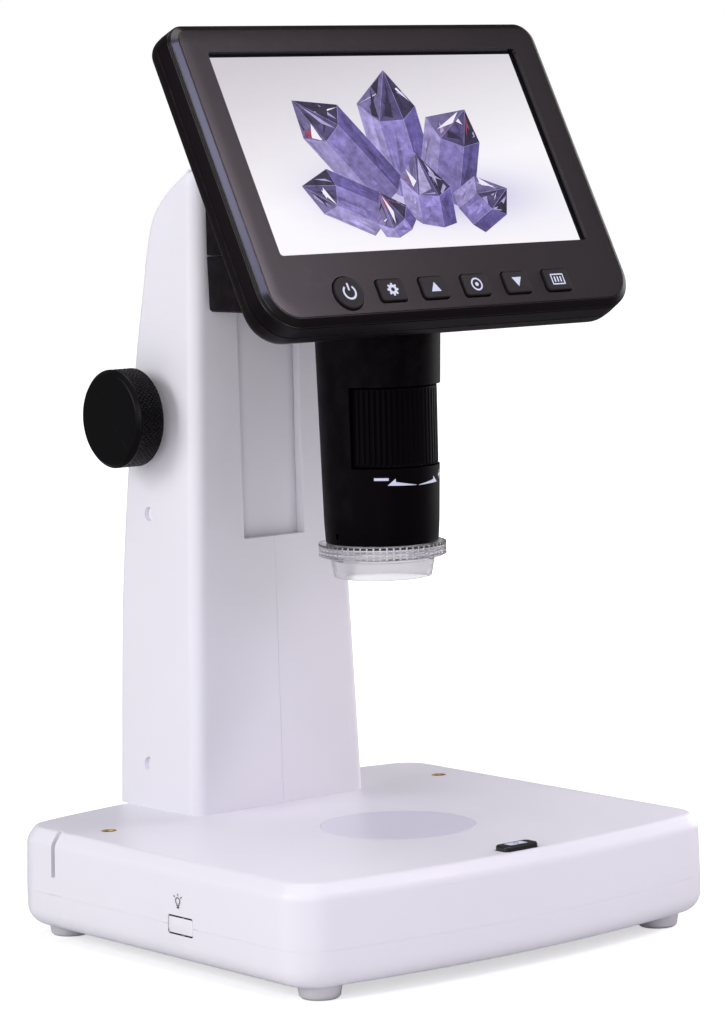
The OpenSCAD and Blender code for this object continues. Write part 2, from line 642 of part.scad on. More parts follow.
module hinge_pin() color("silver") translate([0, hinge_y, hinge_z])
  along_x(-lug_x[1]) disc(pin_r, 0, 2*lug_x[1], 48);

// ---- lens barrel ----
module barrel() color("black") on_axis() difference() {
  translate([0, 0, barrel_z])
    cylinder(r1 = barrel_r0, r2 = barrel_r1, h = head_z[0] - barrel_z - gap, $fn = 96);
  disc(bore_r, barrel_z - 1, head_z[0] + 1, 96);
  // pocket and window for the magnification wheel
  translate([0, -wheel_off, 0]) disc(wheel_r + 0.35, wheel_z[0] - 0.35, wheel_z[1] + 0.35, 96);
  intersection() {
    disc(30, wheel_z[0] - 0.35, wheel_z[1] + 0.35, 32);
    translate([0, 0, wheel_z[0] - 0.35]) linear_extrude(wheel_z[1] - wheel_z[0] + 0.7)
      polygon([[0, 0], 40*[-sin(window_deg), -cos(window_deg)], 60*[-sin(window_deg/2), -cos(window_deg/2)],
        60*[sin(window_deg/2), -cos(window_deg/2)], 40*[sin(window_deg), -cos(window_deg)]]);
  }
  for (a = barrel_screw_a) rotate(a) translate([15.2, 0, 0]) disc(0.95, head_z[0] - 12, head_z[0] + 1, 24);
  translate([0, 0, set_z]) along_x(-25) disc(1.02, 0, 50, 24);
}

module barrel_screws() color("silver") on_axis() for (a = barrel_screw_a) rotate(a)
  translate([15.2, 0, head_z[0] + wall + 1.6]) screw(1.9, 1.6, 0.9, 13);

module set_screws() color("silver") translate([0, axis_y, set_z]) both_sides() difference() {
  along_x(bore_r + 0.2) disc(1, 0, 2.1, 24);
  along_x(bore_r + 1.6) disc(0.5, 0, 2, 6);
}

rib_n = 60;
rib_h = 0.35;

module zoom_wheel() color("black") translate([0, wheel_y, 0]) difference() {
  translate([0, 0, wheel_z[0]]) linear_extrude(wheel_z[1] - wheel_z[0]) polygon([for (i = [0:rib_n - 1])
    each [for (q = [[0, 0], [0.5, 0], [0.62, 1], [0.88, 1]]) (wheel_r - rib_h*q[1])
      *[cos((i + q[0])*360/rib_n), sin((i + q[0])*360/rib_n)]]]);
  disc(11.8, wheel_z[0] - 1, wheel_z[1] + 1, 96);
}

module optics_tube() color("dimgray") on_axis() difference() {
  union() {
    disc(tube_r, barrel_z + 5.8, head_z[0] + 6.1, 64);
    disc(bore_r - gap, barrel_z + 8, barrel_z + 10, 96);
    disc(bore_r - gap, wheel_z[1] + 3, wheel_z[1] + 5, 96);
  }
  disc(tube_in, barrel_z + 10, head_z[0] + 7, 64);
  disc(5.6, barrel_z, barrel_z + 20, 64);
  disc(7.5 + gap/2, barrel_z + 8.5, barrel_z + 11, 64);
  translate([-1.1, 8, wheel_z[0] + 0.5]) cube([2.2, 4, wheel_z[1] - wheel_z[0] - 1]);
}

// Lens with two rounded faces, edge radius r, rim h, bulge b at each face
module lens(r, h, b) {
  s = (r*r + b*b)/(2*b);
  intersection() {
    disc(r, -h/2 - b, h/2 + b, 64);
    translate([0, 0, s - h/2 - b]) sphere(s, $fn = 240);
    translate([0, 0, h/2 + b - s]) sphere(s, $fn = 240);
  }
}

module objective_lens() color("lightcyan") translate([0, axis_y, barrel_z + 9.3]) lens(7.5, 1, 0.6);

module lens_carrier() color("gray") on_axis() difference() {
  union() {
    disc(tube_in - 0.05, wheel_z[0] + 6, wheel_z[0] + 16, 64);
    translate([-1, 7, wheel_z[0] + 10]) cube([2, 2.6, 3]);
  }
  disc(6, wheel_z[0], wheel_z[0] + 30, 64);
  disc(7 + gap/2, wheel_z[0] + 9.5, wheel_z[0] + 30, 64);
}

module zoom_lens() color("lightcyan") translate([0, axis_y, wheel_z[0] + 10.7]) lens(7, 2, 0.6);

// Board with the image sensor soldered to its underside
module sensor_board() color("green") on_axis() difference() {
  union() {
    slab([26, 20], 1, head_z[0] + 6.1, head_z[0] + 7.7);
    slab([7, 7], 0.3, head_z[0] + 4.9, head_z[0] + 6.1 + eps);
  }
  for (x = [-10.8, 10.8], y = [-7.8, 7.8]) translate([x, y, 0]) disc(1, 150, 250, 24);
}

module ring_light_board() color("white") on_axis()
  ring(bore_r - 0.1, 6, barrel_z + 4.6, barrel_z + 5.8, 96);

module ring_leds() color("khaki") on_axis() for (a = [22.5:45:360]) rotate(a) translate([9.3, 0, 0]) {
  disc(1.5, barrel_z + 3.2, barrel_z + 4.55, 32);
  translate([0, 0, barrel_z + 3.2 + eps]) intersection() {
    sphere(1.5, $fn = 32);
    disc(2, -2, 0, 32);
  }
}

// ---- clear hood ----
module clear_hood() color("lightblue") on_axis() difference() {
  rotate_extrude($fn = 120) polygon([
    [11.8, hood_z[1] - 0.6], [bore_r - 0.9, hood_z[1] + 0.9], [bore_r - 0.9, barrel_z + 3.4],
    [bore_r - 0.05, barrel_z + 3.4], [bore_r - 0.05, hood_z[2]], [hood_r - 0.4, hood_z[2]],
    [hood_r, hood_z[2] - 0.4], [hood_r - 0.5, hood_z[1] + 0.5], [hood_r - 0.9, hood_z[1]],
    [15.1, hood_z[1]], [14, hood_z[0]], [12.9, hood_z[0]], [13.7, hood_z[1] - 0.6]]);
  for (a = [0:6:354]) rotate(a) translate([hood_r - 0.35, -0.3, hood_z[1] + 0.3])
    cube([2, 0.6, hood_z[2] - hood_z[1] - 0.9]);
}

// ---- screen ----
module screen_front_shell() color("black") on_screen() difference() {
  loft([[disp_seam + 0.1, disp_inset(-0.4)], [0, disp_inset(0)], [face - 0.01, disp_inset(bevel)]]);
  // inside, less the screw posts and the pins of the key board
  difference() {
    translate([0, disp_mid, 0]) slab([disp_w - 2*wall, disp_h - 2*wall], disp_r[0] - wall, disp_seam - 1, 0);
    for (p = disp_post) translate(p) disc(2.6, disp_seam, 0.2, 32);
    for (x = [-48, 48]) translate([x, key_board_v, 0]) {
      disc(2.2, -4.25, 0.2, 32);
      disc(0.95, -5.3, 0, 24);
    }
  }
  slab([view_w, view_h], 1, -1, face + 1);
  for (i = [0:5]) key_at(i) {
    if (i == 0) disc(power_r + key_gap, -1, face + 1, 64);
    else slab([key_size[0] + 2*key_gap, key_size[1] + 2*key_gap], 1.4, -1, face + 1);
  }
  for (p = disp_post) translate(p) disc(1.05, -8, -0.5, 24);
}

power_r = 4.9;

module key_at(i) { translate([(i - 2.5)*key_step, key_v, 0]) children(); }

// Inset of the housing's lower and upper edges at depth d behind the seam
function end_inset(d) = end_round - 0.4
  - sqrt(pow(end_round, 2) - pow(max(0, d + end_round - back_round), 2));

module screen_back_shell() color("black") on_screen() difference() {
  union() {
    difference() {
      loft([for (a = [0, 20, 40, 60, 75, 90]) [disp_seam - 0.01 - back_round*sin(a) + (a < 90 ? 0 : 0.01),
        disp_outline((back_round + 0.4)*(1 - cos(a)) - 0.4, end_inset(back_round*sin(a)))]]);
      // inside, less the screw posts and the posts of the main board
      difference() {
        loft([[disp_seam + 1, disp_inset(wall)], [disp_seam - 2.5, disp_inset(wall + 0.6)],
              [disp_back + wall, disp_inset(back_round - 0.5)]]);
        for (p = disp_post) translate(p) disc(3, disp_back, disp_seam + 2, 32);
        for (x = board_hole[0], y = board_hole[1]) translate([x, y, 0])
          disc(2.4, disp_back, board_n - 0.03, 32);
      }
    }
    // lugs of the tilt hinge
    translate([0, hinge_v, hinge_n]) both_sides() {
      along_x(lug_x[0]) disc(hinge_r, 0, lug_x[1] - lug_x[0], 48);
      translate([lug_x[0], -hinge_r, 0]) cube([lug_x[1] - lug_x[0], 2*hinge_r, disp_back - hinge_n + 0.5]);
    }
  }
  for (p = disp_post) translate(p) {
    disc(1.25, disp_back - 1, 0, 24);
    disc(2.2, disp_back - 1, disp_back + 4.6, 32);
  }
  translate([0, hinge_v, hinge_n]) along_x(-30) disc(pin_r + 0.05, 0, 60, 48);
  // openings for the ports on the right edge
  for (p = port_at) translate([disp_w/2, p[0], board_n - p[2]/2])
    cube([16, p[1] + 0.8, p[2] + 0.8], center = true);
}

board_n = -7.6;                      // back of the main board
board_hole = [[-44, 54], [-22, 24]];
key_board_v = -43.6;
port_at = [[16, 9, 3.2], [0, 12, 2.2]];   // up the slope, width, height

module screen_screws() color("silver") on_screen() for (p = disp_post)
  translate([p[0], p[1], disp_back + 3.1]) rotate([180, 0, 0]) screw(2, 1.5, 1, 9.2);

module lcd_glass() color("lavender") on_screen() slab([115, 66], 0.8, -1.2, -0.02);

module lcd_frame() color("silver") on_screen() difference() {
  slab([117, 68], 1.2, -4.2, -0.06);
  slab([115 + 2*gap, 66 + 2*gap], 0.8, -1.24, 1);
}

// Board with a push switch under each key
module key_board() color("green") on_screen() {
  difference() {
    translate([0, key_board_v, 0]) slab([104, 9.2], 1, -5.4, -4.3);
    for (x = [-48, 48]) translate([x, key_board_v, 0]) disc(1, -8, 0, 24);
  }
  for (i = [0:5]) key_at(i) disc(1.5, -4.3 - eps, -4.05, 24);
}

module main_board() color("green") on_screen() difference() {
  translate([5, 1, 0]) slab([108, 56], 1.5, board_n, board_n + 1.6);
  for (x = board_hole[0], y = board_hole[1]) translate([x, y, 0]) disc(1.3, -9, 0, 24);
}

module side_ports() color("silver") on_screen() for (p = port_at)
  translate([61, p[0], board_n - p[2]/2]) difference() {
    cube([9, p[1], p[2]], center = true);
    translate([1.2, 0, 0]) cube([9, p[1] - 0.8, p[2] - 0.8], center = true);
  }

module battery_pack() color("steelblue") on_screen()
  translate([-8, 0, 0]) slab([62, 38], 2, disp_back + wall + 0.4, board_n - gap);

// Key: cap through the face, collar behind it, stem down to its switch
module key_cap(i) color("black") on_screen() key_at(i) {
  if (i == 0) disc(power_r, -0.5, face + key_rise, 64);
  else slab(key_size, 1.1, -0.5, face + key_rise);
  slab(key_size + [0.6, 0.3], 1, -1.3, -0.5 + eps);
  disc(1.3, -3.6, -1.3 + eps, 24);
}

module key_power() key_cap(0);
module key_settings() key_cap(1);
module key_up() key_cap(2);
module key_confirm() key_cap(3);
module key_down() key_cap(4);
module key_mode() key_cap(5);

base_upper_shell();
base_lower_shell();
feet();
base_screws();
ballast_plate();
stage_disc();
stage_light_board();
clip_sockets();
base_board();
power_jack();
light_button();
light_rocker();
light_switches();
column_left_shell();
column_right_shell();
column_screws();
column_plugs();
column_foot_screws();
guide_rods();
rod_blocks();
shaft_bushings();
focus_shaft();
pinion();
knob_left();
knob_right();
carriage();
rack();
slot_cover();
arm_screws();
head_lower_housing();
head_upper_housing();
head_screws();
hinge_pin();
barrel();
barrel_screws();
set_screws();
zoom_wheel();
optics_tube();
objective_lens();
lens_carrier();
zoom_lens();
sensor_board();
ring_light_board();
ring_leds();
clear_hood();
screen_front_shell();
screen_back_shell();
screen_screws();
lcd_glass();
lcd_frame();
key_board();
main_board();
side_ports();
battery_pack();
key_power();
key_settings();
key_up();
key_confirm();
key_down();
key_mode();
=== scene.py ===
"""Looks of a digital microscope with a tilting screen.

Sizes are in millimetres, +X to the user's right, -Y towards the user, +Z up, and become metres
where a mesh is made. Every new piece is a surface on a grid of two parameters, or a profile
carried along a path, at its real place.
"""
import math

import bpy
import numpy as np
from mathutils import Matrix, Vector


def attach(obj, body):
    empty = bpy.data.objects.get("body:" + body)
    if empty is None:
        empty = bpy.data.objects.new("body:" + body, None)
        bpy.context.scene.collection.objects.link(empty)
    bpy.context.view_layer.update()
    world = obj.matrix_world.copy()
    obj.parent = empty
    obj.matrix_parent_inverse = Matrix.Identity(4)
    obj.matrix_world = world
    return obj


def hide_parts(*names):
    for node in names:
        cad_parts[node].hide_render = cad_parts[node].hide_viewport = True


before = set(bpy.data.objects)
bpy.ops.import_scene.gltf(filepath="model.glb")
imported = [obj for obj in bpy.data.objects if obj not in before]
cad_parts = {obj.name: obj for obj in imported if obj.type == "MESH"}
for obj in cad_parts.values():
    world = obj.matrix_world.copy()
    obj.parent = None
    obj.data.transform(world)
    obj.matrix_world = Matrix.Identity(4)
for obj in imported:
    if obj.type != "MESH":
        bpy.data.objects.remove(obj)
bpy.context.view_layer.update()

MM = 0.001
TURN = 2 * math.pi

# ---- sizes
BASE_W, BASE_D, BASE_TOP, SEAM_Z, FOOT_H, WALL = 154.0, 150.0, 33.0, 15.0, 4.0, 2.4
CORNER_R, FRONT_R, REAR_R = 12.5, 380.0, 320.0
RIM_W, RIM_H, BASE_ROUND = 3.0, 3.5, 6.0
AXIS_Y = -13.0
STAGE_R, STAGE_Y = 22.4, AXIS_Y - 4.0
CLIP_X, CLIP_Y, CLIP_R, CLIP_DEEP, SOCKET_R = 62.8, 37.8, 1.6, 9.0, 2.25
LEFT = -BASE_W / 2
BUTTON_W, BUTTON_D, BUTTON_Y = 12.0, 5.4, -(BASE_D / 2 - 7)
ROCKER_L, ROCKER_H, ROCKER_Y = 10.6, 4.8, -14.3
JACK_X = 40.0
JACK_Y = BASE_D / 2 - REAR_R + math.sqrt(REAR_R**2 - JACK_X**2)
SLIT_W, SLIT_Y, SLIT_Z = 1.8, 46.5, 20.0
COL_W, COL_WALL, SLOT_W, SLOT_Z, INNER_FRONT = 32.5, 2.6, 11.4, 113.0, 40.3
SHAFT_Y, SHAFT_Z, KNOB_X, KNOB_R, KNOB_W, SHAFT_R = 59.4, 149.5, 32.8, 14.5, 9.8, 2.5
PLUG_R, BUSH_R = 2.1, 4.6
TOP_ROUND_Z, TOP_ROUND_H, TOP_ROUND_IN = 217.5, 4.5, 2.4
BARREL_Z, BARREL_TOP, BARREL_R0, BARREL_R1, BORE_R = 115.0, 180.5, 16.4, 18.1, 13.2
WHEEL_Z0, WHEEL_Z1, WHEEL_R, WHEEL_Y = 137.4, 159.8, 15.2, AXIS_Y - 2.1
WINDOW_DEG, WINDOW_GAP = 69.0, 0.35
HOOD_R, HOOD_Z = 18.3, (105.0, 110.6, BARREL_Z - 0.2)
RING_Z, PAD_Z = 111.05, (114.5, 113.45, 112.42, 111.5)
SCREEN_Y, SCREEN_Z, TILT = -24.6, 226.1, math.radians(28.46)
DISP_W, DISP_H, DISP_TOP, DISP_R = 134.0, 93.0, 40.6, (11.0, 6.0)
DISP_MID = DISP_TOP - DISP_H / 2
FACE, BEVEL_W, SEAM_N, BACK_N, BACK_ROUND, END_ROUND = 1.5, 2.3, -5.5, -14.0, 8.5, 6.5
VIEW_W, VIEW_H = 112.8, 62.8
PICTURE_W, PICTURE_H, PICTURE_N, SHEET_STEP = 110.7, 61.6, -0.45, 0.0012
KEY_STEP, KEY_V, KEY_W, KEY_H, KEY_GAP, KEY_RISE, POWER_R = 15.3, -43.8, 9.3, 6.6, 0.35, 0.9, 4.9
HINGE_V, HINGE_N, HINGE_R, LUG_X = 2.0, -20.0, 5.0, (14.0, 20.0)


# ---- outlines
def arc(cx, cy, r, a, b, n):
    """n points at even angles from a to b degrees on a circle round (cx, cy)."""
    t = np.radians(np.linspace(a, b, n))
    return np.column_stack([cx + r * np.cos(t), cy + r * np.sin(t)])


def base_outline(e):
    """Base in plan, inset by e: front arc, corner arcs tangent to it, rear arc, anticlockwise."""
    w = BASE_W / 2 - CORNER_R
    cf, cr = FRONT_R - BASE_D / 2, BASE_D / 2 - REAR_R
    yf = cf - math.sqrt((FRONT_R - CORNER_R) ** 2 - w * w)
    yr = cr + math.sqrt((REAR_R - CORNER_R) ** 2 - w * w)
    bf = math.degrees(math.asin(w / (FRONT_R - CORNER_R)))
    br = math.degrees(math.asin(w / (REAR_R - CORNER_R)))
    r = CORNER_R - e
    return np.vstack([
        arc(0, cf, FRONT_R - e, -90 - bf, -90 + bf, 41), arc(w, yf, r, -90 + bf, 0, 15)[1:],
        arc(w, yr, r, 0, 90 - br, 15)[:-1], arc(0, cr, REAR_R - e, 90 - br, 90 + br, 41),
        arc(-w, yr, r, 90 + br, 180, 15)[1:], arc(-w, yf, r, 180, 270 - bf, 15)[:-1]])


def box_outline(w, y0, y1, rf, rr, n=11):
    """Rounded rectangle from (-w, y0) to (w, y1), front corners rf and rear corners rr."""
    return np.vstack([
        arc(w - rf, y0 + rf, rf, -90, 0, n), arc(w - rr, y1 - rr, rr, 0, 90, n),
        arc(rr - w, y1 - rr, rr, 90, 180, n), arc(rf - w, y0 + rf, rf, 180, 270, n)])


def screen_outline(e, f=None, n=15):
    """Screen housing's outline, inset by e at its sides and by f at its ends."""
    f = e if f is None else f
    return box_outline(DISP_W / 2 - e, DISP_MID - DISP_H / 2 + f, DISP_MID + DISP_H / 2 - f,
                       max(DISP_R[0] - e, 0.6), max(DISP_R[1] - e, 0.6), n)


def softened(corners, reach, steps=7):
    """A path of straight runs whose corners are rounded: each corner is swapped for a parabola
    that leaves the runs at that corner's reach on both sides."""
    c = np.array(corners, float)
    r = np.array(reach, float)[:, None, None]
    before, after = np.vstack([c[:1], c[:-1]]) - c, np.vstack([c[1:], c[-1:]]) - c

    def unit(v):
        return (v / np.maximum(np.linalg.norm(v, axis=1, keepdims=True), 1e-9))[:, None, :]

    s = np.linspace(0, 1, steps)[None, :, None]
    p = (c[:, None, :] + unit(before) * r * (1 - s) ** 2 + unit(after) * r * s**2).reshape(-1, 2)
    keep = np.concatenate([[True], np.linalg.norm(np.diff(p, axis=0), axis=1) > 1e-4])
    return p[keep]


def eased(line, rounds=3):
    """A path rounded by cutting its corners at a quarter and three quarters of each run."""
    p = np.array(line, float)
    for _ in range(rounds):
        a, b = p[:-1], p[1:]
        mid = np.stack([0.75 * a + 0.25 * b, 0.25 * a + 0.75 * b], 1).reshape(-1, p.shape[1])
        p = np.vstack([p[:1], mid, p[-1:]])
    return p


# ---- surfaces
def stacked(rings, closed=False):
    """Solid through closed rings (k, n, 3): quads between neighbours, and a face on each end or,
    if closed, quads from the last ring to the first. Anticlockwise rings that rise face outwards."""
    rings = np.asarray(rings, float)
    k, n, _ = rings.shape
    i, j = np.meshgrid(np.arange(k if closed else k - 1), np.arange(n), indexing="ij")
    a, b, up = i * n + j, i * n + (j + 1) % n, ((i + 1) % k - i) * n
    quads = np.stack([a, b, b + up, a + up], -1).reshape(-1, 4).tolist()
    ends = [] if closed else [list(range(n))[::-1], list(range((k - 1) * n, k * n))]
    return rings.reshape(-1, 3), quads + ends


def ring_at(outline, z):
    """Flat outline at a height."""
    return np.column_stack([outline, np.full(len(outline), z)])


def insets(path, outline):
    """Rings of an outline carried along a path of (inset, height)."""
    return [ring_at(outline(e), z) for e, z in path]


def lathe(radii, heights, closed=False):
    """Radii (k, n) at k heights, spread over n even angles about the vertical axis."""
    n = radii.shape[1]
    t = np.arange(n) * TURN / n
    return stacked(np.stack([radii * np.cos(t), radii * np.sin(t),
                             np.repeat(heights[:, None], n, 1)], -1), closed)


def turned(path, n=96, closed=False):
    """Path of (radius, height) turned about the vertical axis; a closed path makes a hollow ring.
    The path runs up the outside, so that the faces point out."""
    p = np.asarray(path, float)
    return lathe(np.repeat(p[:, :1], n, 1), p[:, 1], closed)


def boxes(w, h, path, r, ease=1.0, least=0.2):
    """Solid through rounded rectangles w by h at a path's (inset, height); the corner radius r
    gives up ease times the inset, down to least."""
    return stacked(insets(path, lambda e: box_outline(
        w / 2 - e, e - h / 2, h / 2 - e, max(r - e * ease, least), max(r - e * ease, least), 9)))


def slab(w, h, r, z0, z1):
    """Rounded rectangle w by h from z0 to z1."""
    return boxes(w, h, [(0, z0), (0, z1)], r)


def block(lo, hi):
    """Plain box from corner lo to corner hi, for cutting."""
    (x0, y0, z0), (x1, y1, z1) = lo, hi
    ring = np.array([[x0, y0], [x1, y0], [x1, y1], [x0, y1]])
    return stacked([ring_at(ring, z) for z in (z0, z1)])


def rod(r, z0, z1, n=48):
    """Upright round bar, for cutting."""
    return turned([(r, z0), (r, z1)], n)


def patch(grid):
    """Open sheet over a grid of points (rows, columns, 3), each cell one face."""
    g = np.asarray(grid, float)
    k, n, _ = g.shape
    i, j = np.meshgrid(np.arange(k - 1), np.arange(n - 1), indexing="ij")
    a = i * n + j
    return g.reshape(-1, 3), np.stack([a, a + 1, a + n + 1, a + n], -1).reshape(-1, 4).tolist()


def stroke(line, width):
    """Flat strip of a width along a path, facing up: the path moved by half the width to each
    side, square to its own run."""
    p = np.asarray(line, float)
    run = np.gradient(p, axis=0)
    run /= np.linalg.norm(run, axis=1, keepdims=True)
    left = np.column_stack([-run[:, 1], run[:, 0]]) * width / 2
    return patch(np.stack([np.column_stack([p + k * left, np.zeros(len(p))]) for k in (-1, 1)]))


def plate(points):
    """One flat face through points, anticlockwise as seen from above."""
    p = np.asarray(points, float)
    return np.column_stack([p, np.zeros(len(p))]), [list(range(len(p)))]


def joined(*shapes):
    """Several shapes as one list of points and faces."""
    points, faces, start = [], [], 0
    for v, f in shapes:
        points.append(np.asarray(v, float))
        faces += [[i + start for i in face] for face in f]
        start += len(v)
    return np.vstack(points), faces


# ---- places
def moved(shape, x=0.0, y=0.0, z=0.0):
    """Shape shifted along the axes."""
    return shape[0] + np.array([x, y, z]), shape[1]


def swung(shape, z_axis, x_axis, at=(0, 0, 0)):
    """Shape with its own z along z_axis and x along x_axis, at a place. Both are unit vectors."""
    x, z = np.array(x_axis, float), np.array(z_axis, float)
    return shape[0] @ np.stack([x, np.cross(z, x), z]) + np.array(at, float), shape[1]


def across(shape, at):
    """Shape with its own z to the user's right and x to the rear, at a place."""
    return swung(shape, (1, 0, 0), (0, 1, 0), at)


def on_left_wall(shape, y, z, sunk=0.0):
    """Shape facing out of the base's left wall, sunk into it."""
    return swung(shape, (-1, 0, 0), (0, -1, 0), (LEFT + sunk, y, z))


def mirrored(shape):
    """Shape mirrored left to right, its faces turned round so that they still point out."""
    return shape[0] * [-1, 1, 1], [list(f)[::-1] for f in shape[1]]


def on_screen(shape):
    """Shape from the screen's own axes (across, up the slope, out of the picture)."""
    return swung(shape, (0, -math.cos(TILT), math.sin(TILT)), (1, 0, 0), (0, SCREEN_Y, SCREEN_Z))


# ---- meshes
def mesh_object(name, shape):
    """Object in metres from a shape's points and faces."""
    mesh = bpy.data.meshes.new(name)
    mesh.from_pydata((np.asarray(shape[0]) * MM).tolist(), [], shape[1])
    mesh.update()
    obj = bpy.data.objects.new(name, mesh)
    bpy.context.scene.collection.objects.link(obj)
    return obj


def carved(name, shape, cuts):
    """The shape with the volumes in cuts taken out of it."""
    obj = mesh_object(name, shape)
    tools = [mesh_object("tool", cut) for cut in cuts]
    for tool in tools:
        cut = obj.modifiers.new("cut", "BOOLEAN")
        cut.operation, cut.solver, cut.object = "DIFFERENCE", "EXACT", tool
    bpy.context.view_layer.update()
    mesh = bpy.data.meshes.new_from_object(obj.evaluated_get(bpy.context.evaluated_depsgraph_get()))
    obj.modifiers.clear()
    obj.data = mesh
    mesh.name = name
    for tool in tools:
        bpy.data.objects.remove(tool)
    return obj


def finished(obj, material, edge, sharp):
    """Smooth shading, with rounded edges or, where edge is 0, crisp ones past an angle."""
    mesh = obj.data
    mesh.materials.clear()
    mesh.materials.append(material)
    mesh.shade_smooth()
    if edge:
        soft = obj.modifiers.new("edges", "BEVEL")
        soft.width, soft.segments, soft.limit_method = edge * MM, 3, "ANGLE"
        soft.angle_limit, soft.harden_normals = math.radians(sharp), True
        soft.miter_outer = "MITER_ARC"
    else:
        mesh.set_sharp_from_angle(angle=math.radians(sharp))
    return obj


def piece(name, shape, body, material, nodes=(), cuts=(), edge=0, sharp=32):
    """A finished piece that rides on a body and stands for the nodes."""
    obj = carved(name, shape, cuts) if cuts else mesh_object(name, shape)
    finished(obj, material, edge, sharp)
    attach(obj, body)
    if nodes:
        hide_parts(*nodes)
    return obj


def per_face(mesh, what):
    """A vector of each face of a mesh, such as its normal."""
    values = np.zeros(3 * len(mesh.polygons))
    mesh.polygons.foreach_get(what, values)
    return values.reshape(-1, 3)


def set_per_face(mesh, name, values):
    """A named number on each face of a mesh, for its material."""
    mesh.attributes.new(name, "FLOAT", "FACE").data.foreach_set("value", values)


# ---- effects that materials share
def effect(name, inputs, outputs, build):
    """A node group with named sockets; build gets the tree, its input sockets and output sockets."""
    tree = bpy.data.node_groups.new(name, "ShaderNodeTree")
    for label, kind, value in inputs:
        socket = tree.interface.new_socket(label, in_out="INPUT", socket_type=kind)
        if value is not None:
            socket.default_value = value
    for label, kind in outputs:
        tree.interface.new_socket(label, in_out="OUTPUT", socket_type=kind)
    start, end = tree.nodes.new("NodeGroupInput"), tree.nodes.new("NodeGroupOutput")
    build(tree, start.outputs, end.inputs)
    return tree


def add_node(tree, kind, **settings):
    """A node with its properties, and its inputs by name or number, set."""
    node = tree.nodes.new("ShaderNode" + kind)
    for key, value in settings.items():
        if key == "inputs":
            for socket, entry in value.items():
                if isinstance(entry, bpy.types.NodeSocket):
                    tree.links.new(entry, node.inputs[socket])
                else:
                    node.inputs[socket].default_value = entry
        else:
            setattr(node, key, value)
    return node


def maths(tree, operation, *values):
    """Output of a Math node over numbers or sockets."""
    node = add_node(tree, "Math", operation=operation)
    for socket, value in zip(node.inputs, values):
        if isinstance(value, bpy.types.NodeSocket):
            tree.links.new(value, socket)
        else:
            socket.default_value = value
    return node.outputs[0]


def ranged(tree, value, low, high, to_low=0.0, to_high=1.0):
    """Value carried from one range to another, held at its ends."""
    return add_node(tree, "MapRange", inputs={"Value": value, "From Min": low, "From Max": high,
                                              "To Min": to_low, "To Max": to_high}).outputs["Result"]


def noise(tree, place, scale, detail, roughness=0.5):
    """Noise value at a place."""
    return add_node(tree, "TexNoise", inputs={
        "Vector": place, "Scale": scale, "Detail": detail, "Roughness": roughness}).outputs[0]


def mixed(tree, share, low, high):
    """Colour between low and high."""
    return add_node(tree, "Mix", data_type="RGBA", inputs={0: share, 6: low, 7: high}).outputs[2]


FLOAT, VECTOR = "NodeSocketFloat", "NodeSocketVector"


def build_grain(tree, given, out):
    """Moulded surface: fine spark-eroded grain over a slow waviness, and a slow mottle."""
    fine = noise(tree, given["Place"], given["Grain per Metre"], 2.0, 0.6)
    wave = noise(tree, given["Place"], 38.0, 1.0)
    broad = noise(tree, given["Place"], 14.0, 3.0, 0.55)
    height = maths(tree, "ADD", maths(tree, "MULTIPLY", fine, given["Grain Share"]), wave)
    tree.links.new(height, out["Height"])
    tree.links.new(ranged(tree, broad, 0.35, 0.65), out["Mottle"])


def build_dust(tree, given, out):
    """Faint dust: on faces that look up, in slow patches with fine specks."""
    normal = add_node(tree, "NewGeometry").outputs["Normal"]
    up = ranged(tree, add_node(tree, "SeparateXYZ", inputs={0: normal}).outputs[2], 0.3, 1.0)
    patches = noise(tree, given["Place"], 45.0, 4.0)
    specks = noise(tree, given["Place"], 1900.0, 1.0)
    mask = maths(tree, "ADD", ranged(tree, patches, 0.42, 0.75, 0.0, 0.5),
                 ranged(tree, specks, 0.66, 0.74))
    tree.links.new(maths(tree, "MULTIPLY", maths(tree, "MULTIPLY", mask, up), given["Amount"]),
                   out["Mask"])


def build_lighter_edges(tree, given, out):
    """Lighter edges: where the surface bends outwards, broken up by noise."""
    bend = ranged(tree, add_node(tree, "NewGeometry").outputs["Pointiness"], 0.52, 0.6)
    breaks = ranged(tree, noise(tree, given["Place"], 260.0, 3.0), 0.4, 0.65)
    tree.links.new(maths(tree, "MULTIPLY", maths(tree, "MULTIPLY", bend, breaks), given["Amount"]),
                   out["Mask"])


moulded_grain = effect("moulded_grain", [("Place", VECTOR, None), ("Grain per Metre", FLOAT, 2500.0),
                                         ("Grain Share", FLOAT, 0.35)],
                       [("Height", FLOAT), ("Mottle", FLOAT)], build_grain)
settled_dust = effect("settled_dust", [("Place", VECTOR, None), ("Amount", FLOAT, 0.1)],
                      [("Mask", FLOAT)], build_dust)
lighter_edges = effect("lighter_edges", [("Place", VECTOR, None), ("Amount", FLOAT, 0.4)],
                      [("Mask", FLOAT)], build_lighter_edges)


# ---- finishes
def linear(r, g, b):
    """Linear colour of an sRGB colour out of 255."""
    c = np.array([r, g, b]) / 255
    c = np.where(c <= 0.04045, c / 12.92, ((c + 0.055) / 1.055) ** 2.4)
    return (*c.tolist(), 1.0)


def opened(name_or_material):
    """Material with its node tree and its shader; a name makes a new one."""
    material = name_or_material
    if isinstance(material, str):
        material = bpy.data.materials.new(material)
        material.use_nodes = True
    return material, material.node_tree, material.node_tree.nodes["Principled BSDF"]


